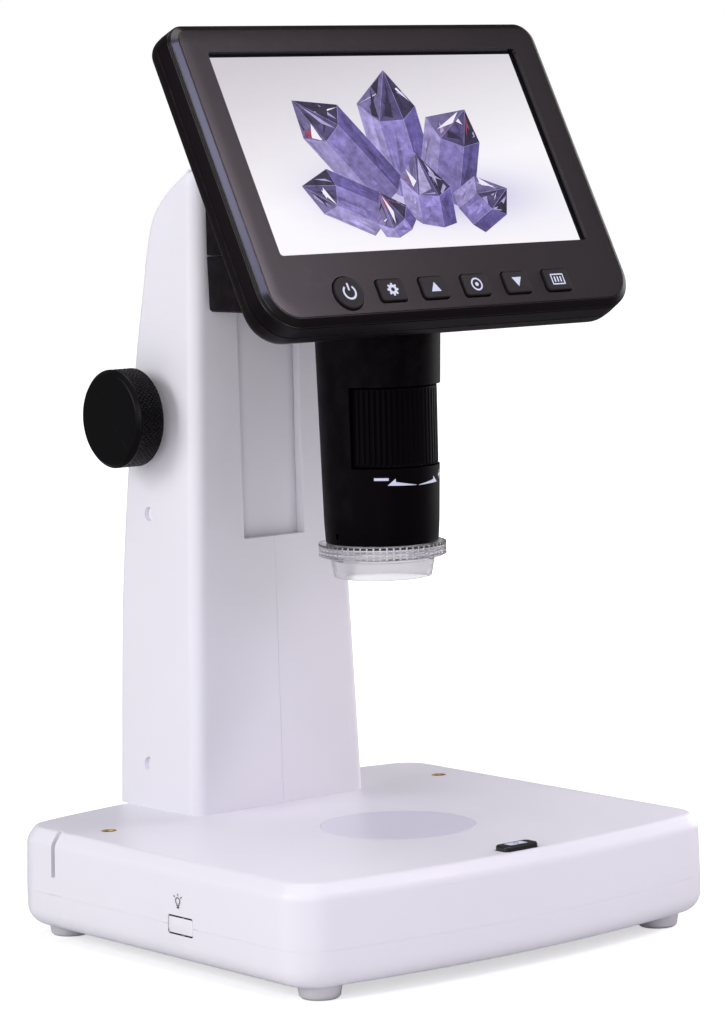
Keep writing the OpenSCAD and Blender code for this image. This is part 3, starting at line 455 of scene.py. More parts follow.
def finish_of(name, color, roughness, dark=0.94, swing=0.06, grain=2500.0, share=0.35, bump=0.25,
              depth=0.00004, dust=0.0, pale_edges=0.0, dust_color=(0.55, 0.53, 0.52, 1.0), **sockets):
    """A plastic or metal: its colour drifts by the slow mottle, the mottle and the lighter edges move its
    roughness, the grain lifts it, and dust lies on what faces up. The colour is sRGB out of 255 as three
    numbers, or linear as four."""
    color = linear(*color) if len(color) == 3 else color
    material, tree, shader = opened(name)
    place = add_node(tree, "TexCoord").outputs["Object"]
    surface = add_node(tree, "Group", node_tree=moulded_grain, inputs={
        "Place": place, "Grain per Metre": grain, "Grain Share": share})
    darker = tuple(c * dark for c in color[:3]) + (1.0,)
    tint = mixed(tree, surface.outputs["Mottle"], darker, color)
    rough = ranged(tree, surface.outputs["Mottle"], 0, 1, roughness - swing, roughness + swing)
    # edges where the surface bends outwards are made lighter and less rough
    if pale_edges:
        edged = add_node(tree, "Group", node_tree=lighter_edges, inputs={"Place": place, "Amount": pale_edges})
        lighter = tuple(min(1.0, c * 1.5 + 0.02) for c in color[:3]) + (1.0,)
        tint = mixed(tree, edged.outputs[0], tint, lighter)
        rough = maths(tree, "SUBTRACT", rough, maths(tree, "MULTIPLY", edged.outputs[0], 0.15))
    if dust:
        settled = add_node(tree, "Group", node_tree=settled_dust, inputs={"Place": place, "Amount": dust})
        tint = mixed(tree, settled.outputs[0], tint, dust_color)
        rough = maths(tree, "ADD", rough, maths(tree, "MULTIPLY", settled.outputs[0], 0.3))
    tree.links.new(tint, shader.inputs["Base Color"])
    tree.links.new(rough, shader.inputs["Roughness"])
    lift = add_node(tree, "Bump", inputs={"Strength": bump, "Distance": depth,
                                          "Height": surface.outputs["Height"]})
    tree.links.new(lift.outputs[0], shader.inputs["Normal"])
    for socket, value in sockets.items():
        shader.inputs[socket.replace("_", " ")].default_value = value
    return material


ROSE = (1.0, 0.78, 0.94, 1.0)  # tint of what black plastic mirrors
white_plastic = finish_of("white_plastic", (238, 236, 243), 0.42, dark=0.985, dust=0.05,
                          grain=2600.0, bump=0.3)
white_foot_rubber = finish_of("foot_rubber", (214, 212, 218), 0.62, dark=0.96, grain=3500.0)
black_plastic = finish_of("black_plastic", (16, 11, 14), 0.42, dark=0.85, pale_edges=0.25, dust=0.012,
                          grain=4200.0, share=0.6, bump=0.4, Specular_IOR_Level=0.14, Specular_Tint=ROSE)
screen_black = finish_of("screen_black", (14, 10, 12), 0.4, dark=0.85, pale_edges=0.2, dust=0.012,
                         grain=4200.0, share=0.6, bump=0.35, Specular_IOR_Level=0.12, Specular_Tint=ROSE,
                         Coat_Roughness=0.24)
black_satin = finish_of("black_satin", (6, 4, 6), 0.5, dark=0.85, pale_edges=0.1, grain=5200.0,
                        share=0.6, bump=0.45, Specular_IOR_Level=0.06, Specular_Tint=ROSE)
black_gloss = finish_of("black_gloss", (30, 30, 34), 0.25, dark=0.9, dust=0.06, bump=0.15)
key_rubber = finish_of("key_rubber", (30, 26, 28), 0.55, dark=0.9, dust=0.03, grain=5200.0,
                       share=0.7, bump=0.5, Specular_IOR_Level=0.25)
knob_metal = finish_of("knob_metal", (18, 15, 18), 0.34, dark=0.9, pale_edges=0.35, Metallic=0.6,
                       Specular_IOR_Level=0.3)
print_white = finish_of("print_white", (214, 220, 240), 0.5, dark=0.96)
print_grey = finish_of("print_grey", (74, 68, 80), 0.5, dark=0.94)
# painted shade: the dark colour of the sheets set deep in the gaps round the rocker
gap_shade_paint = finish_of("gap_shade_paint", (52, 36, 44), 0.7, dark=0.8, Specular_IOR_Level=0.1)
diffuser = finish_of("diffuser", (226, 224, 238), 0.38, dark=0.99, swing=0.03, bump=0.1)
brass = finish_of("brass", (196, 168, 118), 0.36, dark=0.8, Metallic=0.9)
steel = finish_of("steel", (196, 198, 202), 0.24, dark=0.92, Metallic=1.0, grain=900.0)
screw_steel = finish_of("screw_steel", (178, 180, 186), 0.3, dark=0.88, Metallic=1.0)
black_steel = finish_of("black_steel", (58, 56, 60), 0.32, dark=0.8, Metallic=0.9)
port_metal = finish_of("port_metal", (190, 191, 196), 0.28, dark=0.9, Metallic=1.0)
board_green = finish_of("board_green", (24, 92, 52), 0.4, dark=0.8, grain=1400.0)
board_white = finish_of("board_white", (226, 228, 226), 0.4, dark=0.95)
lamp_yellow = finish_of("lamp_yellow", (236, 214, 120), 0.3, dark=0.92)
inner_plastic = finish_of("inner_plastic", (52, 52, 56), 0.5, dark=0.88)
battery_wrap = finish_of("battery_wrap", (58, 92, 148), 0.35, dark=0.85)
lens_glass = finish_of("lens_glass", (0.92, 0.96, 1.0, 1.0), 0.06, dark=0.99, swing=0.03, bump=0.02,
                       Transmission_Weight=1.0, IOR=1.52)
hood_clear = finish_of("hood_clear", (0.9, 0.89, 0.92, 1.0), 0.16, dark=0.98, swing=0.04, bump=0.1,
                       Transmission_Weight=0.85, IOR=1.49)
grip_pad = finish_of("grip_pad", (206, 200, 210), 0.45, dark=0.95, grain=3000.0, Specular_IOR_Level=0.2)
# painted view through the ring: the pads darken by their pad value, for the black barrel seen through the
# clear plastic
_, tree, shader = opened(grip_pad)
pad = add_node(tree, "Attribute", attribute_name="pad").outputs["Fac"]
tree.links.new(mixed(tree, pad, shader.inputs["Base Color"].links[0].from_socket, linear(38, 31, 40)),
               shader.inputs["Base Color"])
_, tree, shader = opened(screen_black)
polish = add_node(tree, "Attribute", attribute_name="polish").outputs["Fac"]
tree.links.new(polish, shader.inputs["Coat Weight"])

NODE_FINISH = (
    (white_foot_rubber, "feet"), (white_plastic, "column_plugs slot_cover"),
    (black_plastic, "head_lower_housing head_upper_housing"), (black_satin, "power_jack"),
    (inner_plastic, "light_switches rod_blocks carriage optics_tube lens_carrier"),
    (steel, "ballast_plate guide_rods focus_shaft rack hinge_pin"), (black_steel, "set_screws"),
    (screw_steel, "base_screws column_screws column_foot_screws arm_screws head_screws"
                  " barrel_screws screen_screws"),
    (brass, "shaft_bushings pinion"), (port_metal, "lcd_frame side_ports"),
    (board_white, "stage_light_board ring_light_board"), (lamp_yellow, "ring_leds"),
    (board_green, "base_board sensor_board key_board main_board"),
    (lens_glass, "objective_lens zoom_lens"), (battery_wrap, "battery_pack"))
for material, names in NODE_FINISH:
    for node in names.split():
        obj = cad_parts[node]
        obj.data.materials.clear()
        obj.data.materials.append(material)
        obj.modifiers.new("weld", "WELD").merge_threshold = 0.000002
        soft = obj.modifiers.new("edges", "BEVEL")
        soft.width, soft.segments, soft.limit_method = 0.12 * MM, 2, "ANGLE"
        soft.angle_limit, soft.harden_normals = math.radians(34), True

# ---- base
top_path = np.vstack([
    softened([(4.6, 30.6), (2.8, 28.5), (WALL, SEAM_Z + 0.05)], [0, 1, 0]),
    softened([(0.03, SEAM_Z + 0.01), (0, SEAM_Z + 0.05), (0.4, BASE_TOP - RIM_H), (RIM_W, BASE_TOP),
              (RIM_W + 4, BASE_TOP)], [0, 0, 1.3, 0.9, 0], 9)])
jack_cut = swung(rod(4.6, -6, 4), (0, 1, 0), (1, 0, 0), (JACK_X, JACK_Y, SEAM_Z + 2))
rocker_cut = on_left_wall(slab(ROCKER_L + 0.8, ROCKER_H + 0.6, 0.8, -5, 5), ROCKER_Y, SEAM_Z)
sockets = [(x, CLIP_Y) for x in (-CLIP_X, CLIP_X)]
piece("base_top_cover", stacked(insets(top_path, base_outline)), "base", white_plastic,
      ["base_upper_shell"], edge=0.18, cuts=[
          moved(rod(STAGE_R + 0.08, 28, 40, 128), 0, STAGE_Y),
          *[moved(rod(SOCKET_R + 0.03, 20, 40), x, y) for x, y in sockets],
          moved(slab(BUTTON_W + 0.6, BUTTON_D + 0.6, 1.5, 28, 40), 0, BUTTON_Y),
          block((LEFT - 1, SLIT_Y - SLIT_W / 2, SLIT_Z),
                (LEFT + RIM_W + 1.1, SLIT_Y + SLIT_W / 2, 40)),
          rocker_cut, jack_cut])
round_a = np.radians(np.linspace(0, 90, 13))
bottom_path = np.vstack([
    [(BASE_ROUND + 6, FOOT_H)],
    np.column_stack([BASE_ROUND * (1 - np.sin(round_a)), FOOT_H + BASE_ROUND * (1 - np.cos(round_a))]),
    [(0, SEAM_Z - 0.05), (0.03, SEAM_Z - 0.01), (WALL - 0.1, SEAM_Z - 0.01), (WALL + 0.1, SEAM_Z + 2),
     (WALL + 1.2, SEAM_Z + 2), (WALL + 1.2, 11.4), (BASE_ROUND + 0.5, FOOT_H + 2.5)]])
piece("base_bottom_cover", stacked(insets(bottom_path, base_outline)), "base", white_plastic,
      ["base_lower_shell"], edge=0.15, cuts=[
          rocker_cut, jack_cut,
          block((LEFT - 1, ROCKER_Y - 8, SEAM_Z - 0.09), (LEFT + 10, ROCKER_Y + 8, 20)),
          block((LEFT - 1, SLIT_Y - 2, SEAM_Z - 0.09), (LEFT + 10, SLIT_Y + 2, 20))])

bush = softened([(CLIP_R, BASE_TOP - CLIP_DEEP), (SOCKET_R, BASE_TOP - CLIP_DEEP),
                 (SOCKET_R, BASE_TOP), (CLIP_R + 0.1, BASE_TOP), (CLIP_R, BASE_TOP - 0.5)],
                [0, 0.2, 0.15, 0.2, 0])
piece("clip_bushings", joined(*[moved(turned(bush, 48, closed=True), x, y) for x, y in sockets]), "base",
      brass, ["clip_sockets"])

disc_path = softened([(STAGE_R + 2.6, 29), (STAGE_R + 2.6, 30.5), (STAGE_R, 30.5), (STAGE_R, BASE_TOP),
                      (STAGE_R - 3, BASE_TOP)], [0, 0, 0, 0.25, 0])
piece("stage_window", moved(turned(disc_path, 128), 0, STAGE_Y), "base", diffuser, ["stage_disc"])

button_top = softened([(0, 28), (0, BASE_TOP + 1.5), (2.4, BASE_TOP + 1.5)], [0, 0.65, 0])
button = boxes(BUTTON_W, BUTTON_D, button_top, 1.2, 0.4, 0.5)
piece("light_push_button", moved(button, 0, BUTTON_Y), "light_button", black_gloss,
      ["light_button"])

label = plate(box_outline(3.2, -1.6, 1.5, 0.4, 0.4, 5) - [0.4, 0])
piece("button_label", moved(label, 0, BUTTON_Y, BASE_TOP + 1.52), "light_button", print_white)
bulb = joined(stroke(arc(-0.2, 0.2, 0.62, -60, 240, 21), 0.3), stroke([(-0.5, -0.7), (0.1, -0.7)], 0.4))
piece("button_sign", moved(bulb, 0, BUTTON_Y, BASE_TOP + 1.535), "light_button", print_grey)

# lamp sign beside the rocker: bulb, neck, foot and three rays
sign = joined(
    stroke(arc(0, 0, 0.95, -58, 238, 25) * [1.05, 0.95], 0.26),
    stroke([(0.5, -0.75), (0.44, -1.2)], 0.26),
    stroke([(-0.5, -0.75), (-0.44, -1.2)], 0.26), stroke([(-0.55, -1.35), (0.55, -1.35)], 0.3),
    stroke([(-0.5, -1.85), (0.5, -1.85)], 0.42),
    *[stroke([(1.4 * x, 1.4 * y), (2.15 * x, 2.05 * y)], 0.26)
      for x, y in ((0, 1), (0.9, 0.66), (-0.9, 0.66))])
piece("lamp_sign", on_left_wall(sign, -13.35, 21.9), "base", print_grey)

# the paddle sits 0.2 mm nearer the user than the middle of its opening
rocker_path = softened([(0, -2.2), (0, 0.04), (1.9, 0.3)], [0, 0.12, 0])
paddle = moved(boxes(ROCKER_L + 0.24, ROCKER_H - 0.32, rocker_path, 0.6, 0.2, 0.3), 0.2)
piece("rocker_paddle", on_left_wall(paddle, ROCKER_Y, SEAM_Z), "light_rocker", white_plastic,
      ["light_rocker"])

# painted shade: dark sheets deep in the gap over and under the rocker, where only shade falls, parted by
# a rib
gap_shade_sheets = joined(*[plate([(x0, y0), (x1, y0), (x1, y1), (x0, y1)]) for x0, y0, x1, y1 in (
    (-5.1, 2.1, 0.6, 2.69), (1.75, 2.1, 5.3, 2.69), (-5.1, -2.69, 0.6, -2.1), (1.75, -2.69, 5.3, -2.1),
    (-5.68, -2.3, -5.32, -1.3))])
piece("rocker_gap_shade", on_left_wall(gap_shade_sheets, ROCKER_Y, SEAM_Z, 0.12), "base", gap_shade_paint)

# ---- column
BACK_LINE = [(BASE_TOP, 74.9), (76, 74.9), (98, 74.5), (117, 73.2), (132, 71.9), (164, 68.3), (182, 65.3),
             (199, 62.3), (206, 60.4), (210, 58), (215, 52.8), (218.6, 47), (220.8, 43.6), (222, 41.6)]


def column_half_width(z):
    """Half of the column's width, which narrows evenly with height."""
    return COL_W - 0.038 * (z - BASE_TOP)


def column_front(z):
    """The column's front face, which leans back evenly."""
    return 35.8 + 0.012 * (z - BASE_TOP)


def half_outline(w, y0, y1, rf, rr, x0):
    """Right half of a rounded rectangle, closed along x = x0."""
    return np.vstack([[[x0, y0]], arc(w - rf, y0 + rf, rf, -90, 0, 11),
                      arc(w - rr, y1 - rr, rr, 0, 90, 11), [[x0, y1]]])


def column_side(side):
    """Half of the column: half outlines that follow the back line, rounded in at the top, less
    the hollow, the slot in front, the screw wells and the hole of the focus shaft."""
    back = eased(BACK_LINE, 3)
    z, y1 = back[:, 0], back[:, 1]
    over = np.clip((z - TOP_ROUND_Z) / TOP_ROUND_H, 0, 1)
    inset = TOP_ROUND_IN * (1 - np.sqrt(1 - over**2 * 0.999))
    rings = [ring_at(half_outline(
        column_half_width(a) - i, column_front(a) + 0.7 * i, b, max(4.5 - i * 0.5, 1),
        min(3, (b - column_front(a)) / 3), 0.05), a) for a, b, i in zip(z, y1, inset)]
    hollow = [ring_at(half_outline(column_half_width(a) - COL_WALL, INNER_FRONT, b, 2, 1, -5), a)
              for a, b in [(20, 72.3), (97, 71.8), (131, 69), (163, 65.4), (198, 59.2), (210, 53),
                           (216, 46)]]
    cuts = [stacked(hollow), block((-SLOT_W, 20, SLOT_Z), (SLOT_W, INNER_FRONT + 1, 218)),
            across(rod(BUSH_R + 0.03, 10, 60), (0, SHAFT_Y, SHAFT_Z))]
    if side < 0:
        cuts += [across(rod(PLUG_R + 0.05, 20, 60), (0, SHAFT_Y, z))
                 for z in (BASE_TOP + 13, BASE_TOP + 87.5)]
        return mirrored(stacked(rings)), [mirrored(c) for c in cuts]
    return stacked(rings), cuts


for side, name in ((-1, "left"), (1, "right")):
    shape, cuts = column_side(side)
    piece("column_cover_" + name, shape, "base", white_plastic, [f"column_{name}_shell"],
          cuts=cuts, edge=0.25)


# ---- focus knobs
def knob():
    """Knurled knob: a turned body whose grip band is lowered by two crossing helical waves, so
    that diamonds stand between them, with a plain chamfer to a flat face."""
    n, ridges, twist, deep = 480, 60, 4.6, 0.34
    t = np.arange(n) * TURN / n
    band = np.linspace(0.9, KNOB_W - 1.5, 45)
    lean = TURN / (band[-1] - band[0]) * twist
    a = np.abs(((ridges * t[None, :] + lean * (band[:, None] - band[0])) / math.pi) % 2 - 1)
    b = np.abs(((ridges * t[None, :] - lean * (band[:, None] - band[0])) / math.pi) % 2 - 1)
    fade = np.clip(np.minimum(band - band[0], band[-1] - band) / 0.35, 0, 1)[:, None]
    grip = KNOB_R - deep * fade * np.clip(1 - np.minimum(a, b) * 1.9, 0, 1)
    low = softened([(SHAFT_R + 0.1, 0), (KNOB_R - 0.8, 0), (KNOB_R, 0.8)], [0, 0.3, 0])
    high = softened([(KNOB_R, KNOB_W - 1.45), (KNOB_R, KNOB_W - 1.2), (KNOB_R - 1.2, KNOB_W),
                     (KNOB_R - 4, KNOB_W), (0.5, KNOB_W)], [0, 0.12, 0.35, 0, 0])
    radii = np.vstack([np.repeat(low[:, :1], n, 1), grip, np.repeat(high[:, :1], n, 1)])
    heights = np.concatenate([low[:, 1], band, high[:, 1]])
    return lathe(radii, heights)


right_knob = across(knob(), (KNOB_X, SHAFT_Y, SHAFT_Z))
piece("focus_knob_right", right_knob, "focus_drive", knob_metal, ["knob_right"])
piece("focus_knob_left", mirrored(right_knob), "focus_drive", knob_metal, ["knob_left"])


# ---- barrel
def cone_r(z):
    """Radius of the barrel's outside, which grows evenly with height."""
    return BARREL_R0 + (BARREL_R1 - BARREL_R0) * (z - BARREL_Z) / (BARREL_TOP - BARREL_Z)


wide = np.radians(WINDOW_DEG)
fan = np.array([(0, 0)] + [(r * math.sin(a), -r * math.cos(a)) for a, r in (
    (-wide, 40), (-wide / 2, 60), (wide / 2, 60), (wide, 40))])
window = stacked([ring_at(fan, z) for z in (WHEEL_Z0 - WINDOW_GAP, WHEEL_Z1 + WINDOW_GAP)])
barrel_path = np.vstack([
    [(BORE_R, BARREL_TOP - 0.05), (BORE_R, BARREL_Z)],
    softened([(cone_r(BARREL_Z) - 0.9, BARREL_Z), (cone_r(BARREL_Z) - 0.25, BARREL_Z),
              (cone_r(120), 120), (cone_r(181), 181)],
             [0, 0.35, 3, 0]), [(cone_r(BARREL_TOP) - 0.02, BARREL_TOP - 0.05)]])
piece("lens_barrel", moved(turned(barrel_path, 144, closed=True), 0, AXIS_Y), "head", black_satin,
      ["barrel"], edge=0.22, cuts=[
          moved(rod(WHEEL_R + WINDOW_GAP, WHEEL_Z0 - WINDOW_GAP, WHEEL_Z1 + WINDOW_GAP, 96), 0, WHEEL_Y),
          moved(window, 0, AXIS_Y),
          across(rod(1.02, -25, 25, 32), (0, AXIS_Y, BARREL_Z + 2.5))])


def ribbed_wheel():
    """Zoom wheel: a hollow ring whose rim carries upright ribs with rounded crests, faded out
    at the two ends."""
    n, ribs, deep, bore = 600, 60, 0.45, 11.8
    t = np.arange(n) * TURN / n
    wave = (ribs * t / TURN) % 1
    groove = np.clip(1 - (np.abs(wave - 0.75) / 0.19) ** 4, 0, 1)
    z = np.array([0, 0.25, 0.6, 1.0, 21.4, 21.8, 22.15, 22.4]) + WHEEL_Z0
    inset = np.array([0.35, 0.08, 0.0, 0.0, 0.0, 0.0, 0.08, 0.35])
    depth = np.array([0, 0.0, 0.7, 1.0, 1.0, 0.7, 0.0, 0])
    outer = (WHEEL_R - inset)[:, None] - deep * depth[:, None] * groove[None, :]
    inner = np.full((1, n), bore)
    radii = np.vstack([inner, outer, inner])
    heights = np.concatenate([[WHEEL_Z0], z, [WHEEL_Z1]])
    return lathe(radii, heights, closed=True)


piece("zoom_wheel_ribbed", moved(ribbed_wheel(), 0, WHEEL_Y), "zoom_wheel", black_satin, ["zoom_wheel"],
      sharp=50)


def on_barrel(degrees, z, rise=0.03):
    """Points on the barrel's cone; degrees are measured from the front, to the user's right."""
    a, r = np.radians(degrees), cone_r(z) + rise
    return np.stack([r * np.sin(a), AXIS_Y - r * np.cos(a), z + 0 * a], -1)


def barrel_mark(left, right, n=24, rows=3):
    """Strip on the barrel between two curves of (degrees, height), each given by its end points."""
    s, v = np.linspace(0, 1, n)[None, :], np.linspace(0, 1, rows)[:, None]
    low, high = np.array(left, float), np.array(right, float)
    u = np.linspace(0, 1, len(low))
    deg = (1 - v) * np.interp(s, u, low[:, 0]) + v * np.interp(s, u, high[:, 0])
    z = (1 - v) * np.interp(s, u, low[:, 1]) + v * np.interp(s, u, high[:, 1])
    return patch(on_barrel(deg, z))


marks = joined(
    barrel_mark([(-46.4, 133.85), (-32.4, 133.8)], [(-46.4, 134.6), (-32.4, 134.55)]),
    # arrow to the left, with a barb above, and its twin to the right
    barrel_mark([(-33.2, 132.42), (-21.4, 132.27), (-3.1, 132.15)],
                [(-33.0, 132.5), (-25.4, 133.37), (-3.1, 132.24)]),
    barrel_mark([(-33.2, 132.47), (-25.4, 133.3)], [(-33.0, 132.56), (-25.6, 134.34)]),
    barrel_mark([(-0.4, 132.05), (12.3, 132.16), (29.4, 132.27)],
                [(-0.4, 132.18), (21.5, 133.23), (29.2, 132.38)]),
    barrel_mark([(21.5, 133.15), (29.4, 132.3)], [(21.8, 134.15), (29.3, 132.4)]),
    barrel_mark([(34.4, 133.75), (43.6, 133.75)], [(34.4, 134.5), (43.6, 134.5)]),
    barrel_mark([(37.7, 132.9), (40.2, 132.9)], [(37.7, 135.4), (40.2, 135.4)]))
piece("magnification_marks", marks, "head", print_white)


def clear_hood():
    """Clear hood: a turned grip ring over a thin tapering skirt. The ring's radius dips between
    four bands, each a smoothed step about its height."""
    n = 360
    t = np.arange(n) * TURN / n
    z = np.linspace(RING_Z, HOOD_Z[2], 57)
    band = np.clip(1.3 - 1.3 * (np.abs(z[:, None] - np.array(PAD_Z)) / 0.36) ** 6, 0, 1).max(1)
    ends = (0.5 * np.clip(1 - (z - z[0]) / 0.4, 0, 1) ** 2
            + 0.15 * np.clip(1 - (z[-1] - z) / 0.1, 0, 1) ** 2)
    grip = HOOD_R - ends - 0.2 * np.clip(np.minimum(z - z[0], z[-1] - z) / 0.2, 0, 1) * (1 - band)
    low = softened([(12.9, HOOD_Z[0]), (14.0, HOOD_Z[0]), (15.1, RING_Z), (HOOD_R - 0.9, RING_Z)],
                   [0, 0.3, 0.5, 0])
    inside = softened([(HOOD_R - 0.4, HOOD_Z[2]), (BORE_R - 0.05, HOOD_Z[2]),
                       (BORE_R - 0.05, BARREL_Z + 3.4), (BORE_R - 0.9, BARREL_Z + 3.4),
                       (BORE_R - 0.9, HOOD_Z[1] + 0.9),
                       (11.8, HOOD_Z[1] - 0.6), (13.7, HOOD_Z[1] - 0.6)], [0, 0, 0.1, 0.1, 0.1, 0.2, 0])
    path = np.vstack([low, np.column_stack([grip, z]), inside])
    return turned(path, n, closed=True)


def grip_pads():
    """Small plates in four rows of sixty on the grip ring, and how dark each one is painted: the top row
    is painted dark for the black barrel seen through the clear ring, the others only here and there."""
    k, j = np.meshgrid(np.arange(4), np.arange(60), indexing="ij")
    t = (j[..., None] + 0.5 + np.array([-0.37, 0.37, 0.37, -0.37])) * TURN / 60
    z = np.array(PAD_Z)[k][..., None] + np.array([0.29, 0.2, 0.2, 0.22])[k][..., None] * [-1, -1, 1, 1]
    points = np.stack([(HOOD_R + 0.02) * np.cos(t), (HOOD_R + 0.02) * np.sin(t), z], -1).reshape(-1, 3)
    faces = np.arange(len(points)).reshape(-1, 4).tolist()
    patchy = 0.5 + 0.5 * np.sin(0.9 * j + 2.1 * k) * np.sin(0.37 * j + k)
    dark = np.array([1.0, 0.5, 0.16, 0.6])[k] * np.where(k == 0, 0.97 + 0.03 * patchy, 0.3 + patchy)
    return points, faces, np.clip(dark, 0, 1).ravel()


piece("clear_light_hood", moved(clear_hood(), 0, AXIS_Y), "clear_hood", hood_clear, ["clear_hood"],
      sharp=50)
# painted darkness of the pads, for the black barrel seen through the clear ring
*pads, pad_painted_darkness = grip_pads()
hood_pads = piece("hood_grip_pads", moved(pads, 0, AXIS_Y), "clear_hood", grip_pad)
set_per_face(hood_pads.data, "pad", pad_painted_darkness)

# ---- screen
front_path = softened([(-0.3, SEAM_N + 0.1), (-0.4, SEAM_N + 0.25), (-0.07, -0.9), (0.12, -0.7),
                       (0.12, -0.42), (0.02, -0.3), (0.06, -0.02), (0.34, 0.1), (0.44, 0.3),
                       (BEVEL_W - 0.2, FACE - 0.16), (BEVEL_W, FACE - 0.16), (BEVEL_W + 0.12, FACE),
                       (BEVEL_W + 4, FACE)],
                      [0, 0, 0.06, 0.04, 0.04, 0.05, 0.1, 0.05, 0.08, 0.06, 0.04, 0.05, 0])
front_path = np.vstack([[(WALL, 0), (WALL, SEAM_N + 0.1)], front_path])
screen_front = stacked(insets(front_path, screen_outline))


def at_key(shape, i, z=0.0):
    """Shape at the place of key i in the row, on the screen's own axes."""
    return moved(shape, (i - 2.5) * KEY_STEP, KEY_V, z)


key_cuts = [at_key(slab(KEY_W + 2 * KEY_GAP, KEY_H + 2 * KEY_GAP, 1.4, -3, 5), i) for i in range(1, 6)]
key_cuts.append(at_key(rod(POWER_R + KEY_GAP, -3, 5, 64), 0))
front_frame = piece("screen_front_frame", on_screen(screen_front), "screen", screen_black,
                    ["screen_front_shell"], edge=0.15,
                    cuts=[on_screen(c) for c in [slab(VIEW_W, VIEW_H, 1.0, -3, 5), *key_cuts]])
# the flat face has a thin polish; the bevel and the bead beside it are polished where they face left
out = np.array([0, -math.cos(TILT), math.sin(TILT)])
normals = per_face(front_frame.data, "normal")
faces_out = normals @ out
rise = (per_face(front_frame.data, "center") / MM - [0, SCREEN_Y, SCREEN_Z]) @ out
leftward = np.clip(-2.2 * normals[:, 0], 0, 1)
shine = np.where((rise > FACE - 0.4) & (faces_out > 0.97), 0.6, 0.0)
shine = np.where((rise > 0.2) & (faces_out > 0.7) & (faces_out < 0.95), leftward, shine)
shine = np.where((rise > -1.0) & (faces_out <= 0.7), 0.75 * leftward, shine)
set_per_face(front_frame.data, "polish", shine)

turn_a = np.radians(np.linspace(0, 90, 15))
back_path = np.vstack([
    [(WALL + 0.6, BACK_N + WALL), (WALL, SEAM_N - 0.1), (-0.3, SEAM_N - 0.1), (-0.4, SEAM_N - 0.25)],
    np.column_stack([-0.4 + (BACK_ROUND + 0.4) * (1 - np.cos(turn_a)),
                     SEAM_N - 0.25 - (BACK_ROUND - 0.25) * np.sin(turn_a)])])
behind = np.clip(SEAM_N - back_path[:, 1] + END_ROUND - BACK_ROUND, 0, END_ROUND)
ends = END_ROUND - np.sqrt(END_ROUND**2 - behind**2) - 0.4
ends[:3] = back_path[:3, 0]
back_rings = [ring_at(screen_outline(e, f), z) for (e, z), f in zip(back_path[::-1], ends[::-1])]
lugs = [across(rod(HINGE_R, LUG_X[0], LUG_X[1], 64), (0, HINGE_V, HINGE_N)),
        block((LUG_X[0], HINGE_V - HINGE_R, HINGE_N), (LUG_X[1], HINGE_V + HINGE_R, BACK_N + 0.5))]
ports = [(16.0, 9.0, 3.2), (0.0, 12.0, 2.2)]
port_cuts = [block((DISP_W / 2 - 8, v - w / 2 - 0.4, -7.6 - h - 0.4),
                   (DISP_W / 2 + 8, v + w / 2 + 0.4, -7.2)) for v, w, h in ports]
posts = [(x, y) for x in (-61.4, 61.4) for y in (32.0, -44.2)]
piece("screen_back_cover", on_screen(stacked(back_rings)), "screen", black_plastic,
      ["screen_back_shell"], edge=0.15,
      cuts=[on_screen(c) for c in port_cuts + [
          moved(rod(2.2, -16, BACK_N + 4.6, 32), x, y) for x, y in posts]])
lug_pieces = joined(*[on_screen(s) for s in lugs], *[mirrored(on_screen(s)) for s in lugs])
piece("hinge_lugs", lug_pieces, "screen", black_plastic, edge=0.3)

# keys
NAMES = ["power", "settings", "up", "confirm", "down", "mode"]
for i, name in enumerate(NAMES):
    path = softened([(0, -0.5), (0, FACE + KEY_RISE - 0.1), (0.5, FACE + KEY_RISE - 0.04),
                     (2.4, FACE + KEY_RISE)], [0, 0.45, 0.3, 0])
    if i == 0:
        cap = turned([(POWER_R - e, z) for e, z in path], 64)
    else:
        cap = boxes(KEY_W, KEY_H, path, 1.1, 0.3, 0.4)
    piece(f"key_cap_{name}", on_screen(at_key(cap, i)), f"key_{name}", key_rubber,
          [f"key_{name}"])

# signs on the keys
turn = np.linspace(0, TURN, 129)
tooth = np.clip(0.5 + 1.6 * np.cos(8 * turn), 0, 1)
gear = patch(np.stack([np.column_stack([r * np.cos(turn), r * np.sin(turn), 0 * turn])
                       for r in (1.45 + 0.5 * tooth, 0.62 + 0 * turn)]))
ring = arc(0, 0, 1, 90, 450, 49)
SIGNS = {
    "power": joined(stroke(arc(0, 0, 2.0, 128, 412, 41), 0.62), stroke([(0, 0.5), (0, 2.75)], 0.62)),
    "settings": gear,
    "up": plate([(-1.75, -1.4), (1.75, -1.4), (0, 1.5)]),
    "confirm": joined(stroke(ring * 1.75, 0.5), plate(ring[:-1] * 0.62)),
    "down": plate([(-1.75, 1.4), (0, -1.5), (1.75, 1.4)]),
    "mode": joined(*[stroke(line, 0.42) for line in (
        [(-2.2, -1.5), (2.2, -1.5)], [(2.2, -1.7), (2.2, 1.7)], [(2.2, 1.5), (-2.2, 1.5)],
        [(-2.2, 1.7), (-2.2, -1.7)])], *[stroke([(x, -0.85), (x, 0.85)], 0.5) for x in (-1.1, 0, 1.1)])}
for i, name in enumerate(NAMES):
    sign = on_screen(at_key(SIGNS[name], i, FACE + KEY_RISE + 0.015))
    piece(f"sign_{name}", sign, f"key_{name}", print_white)


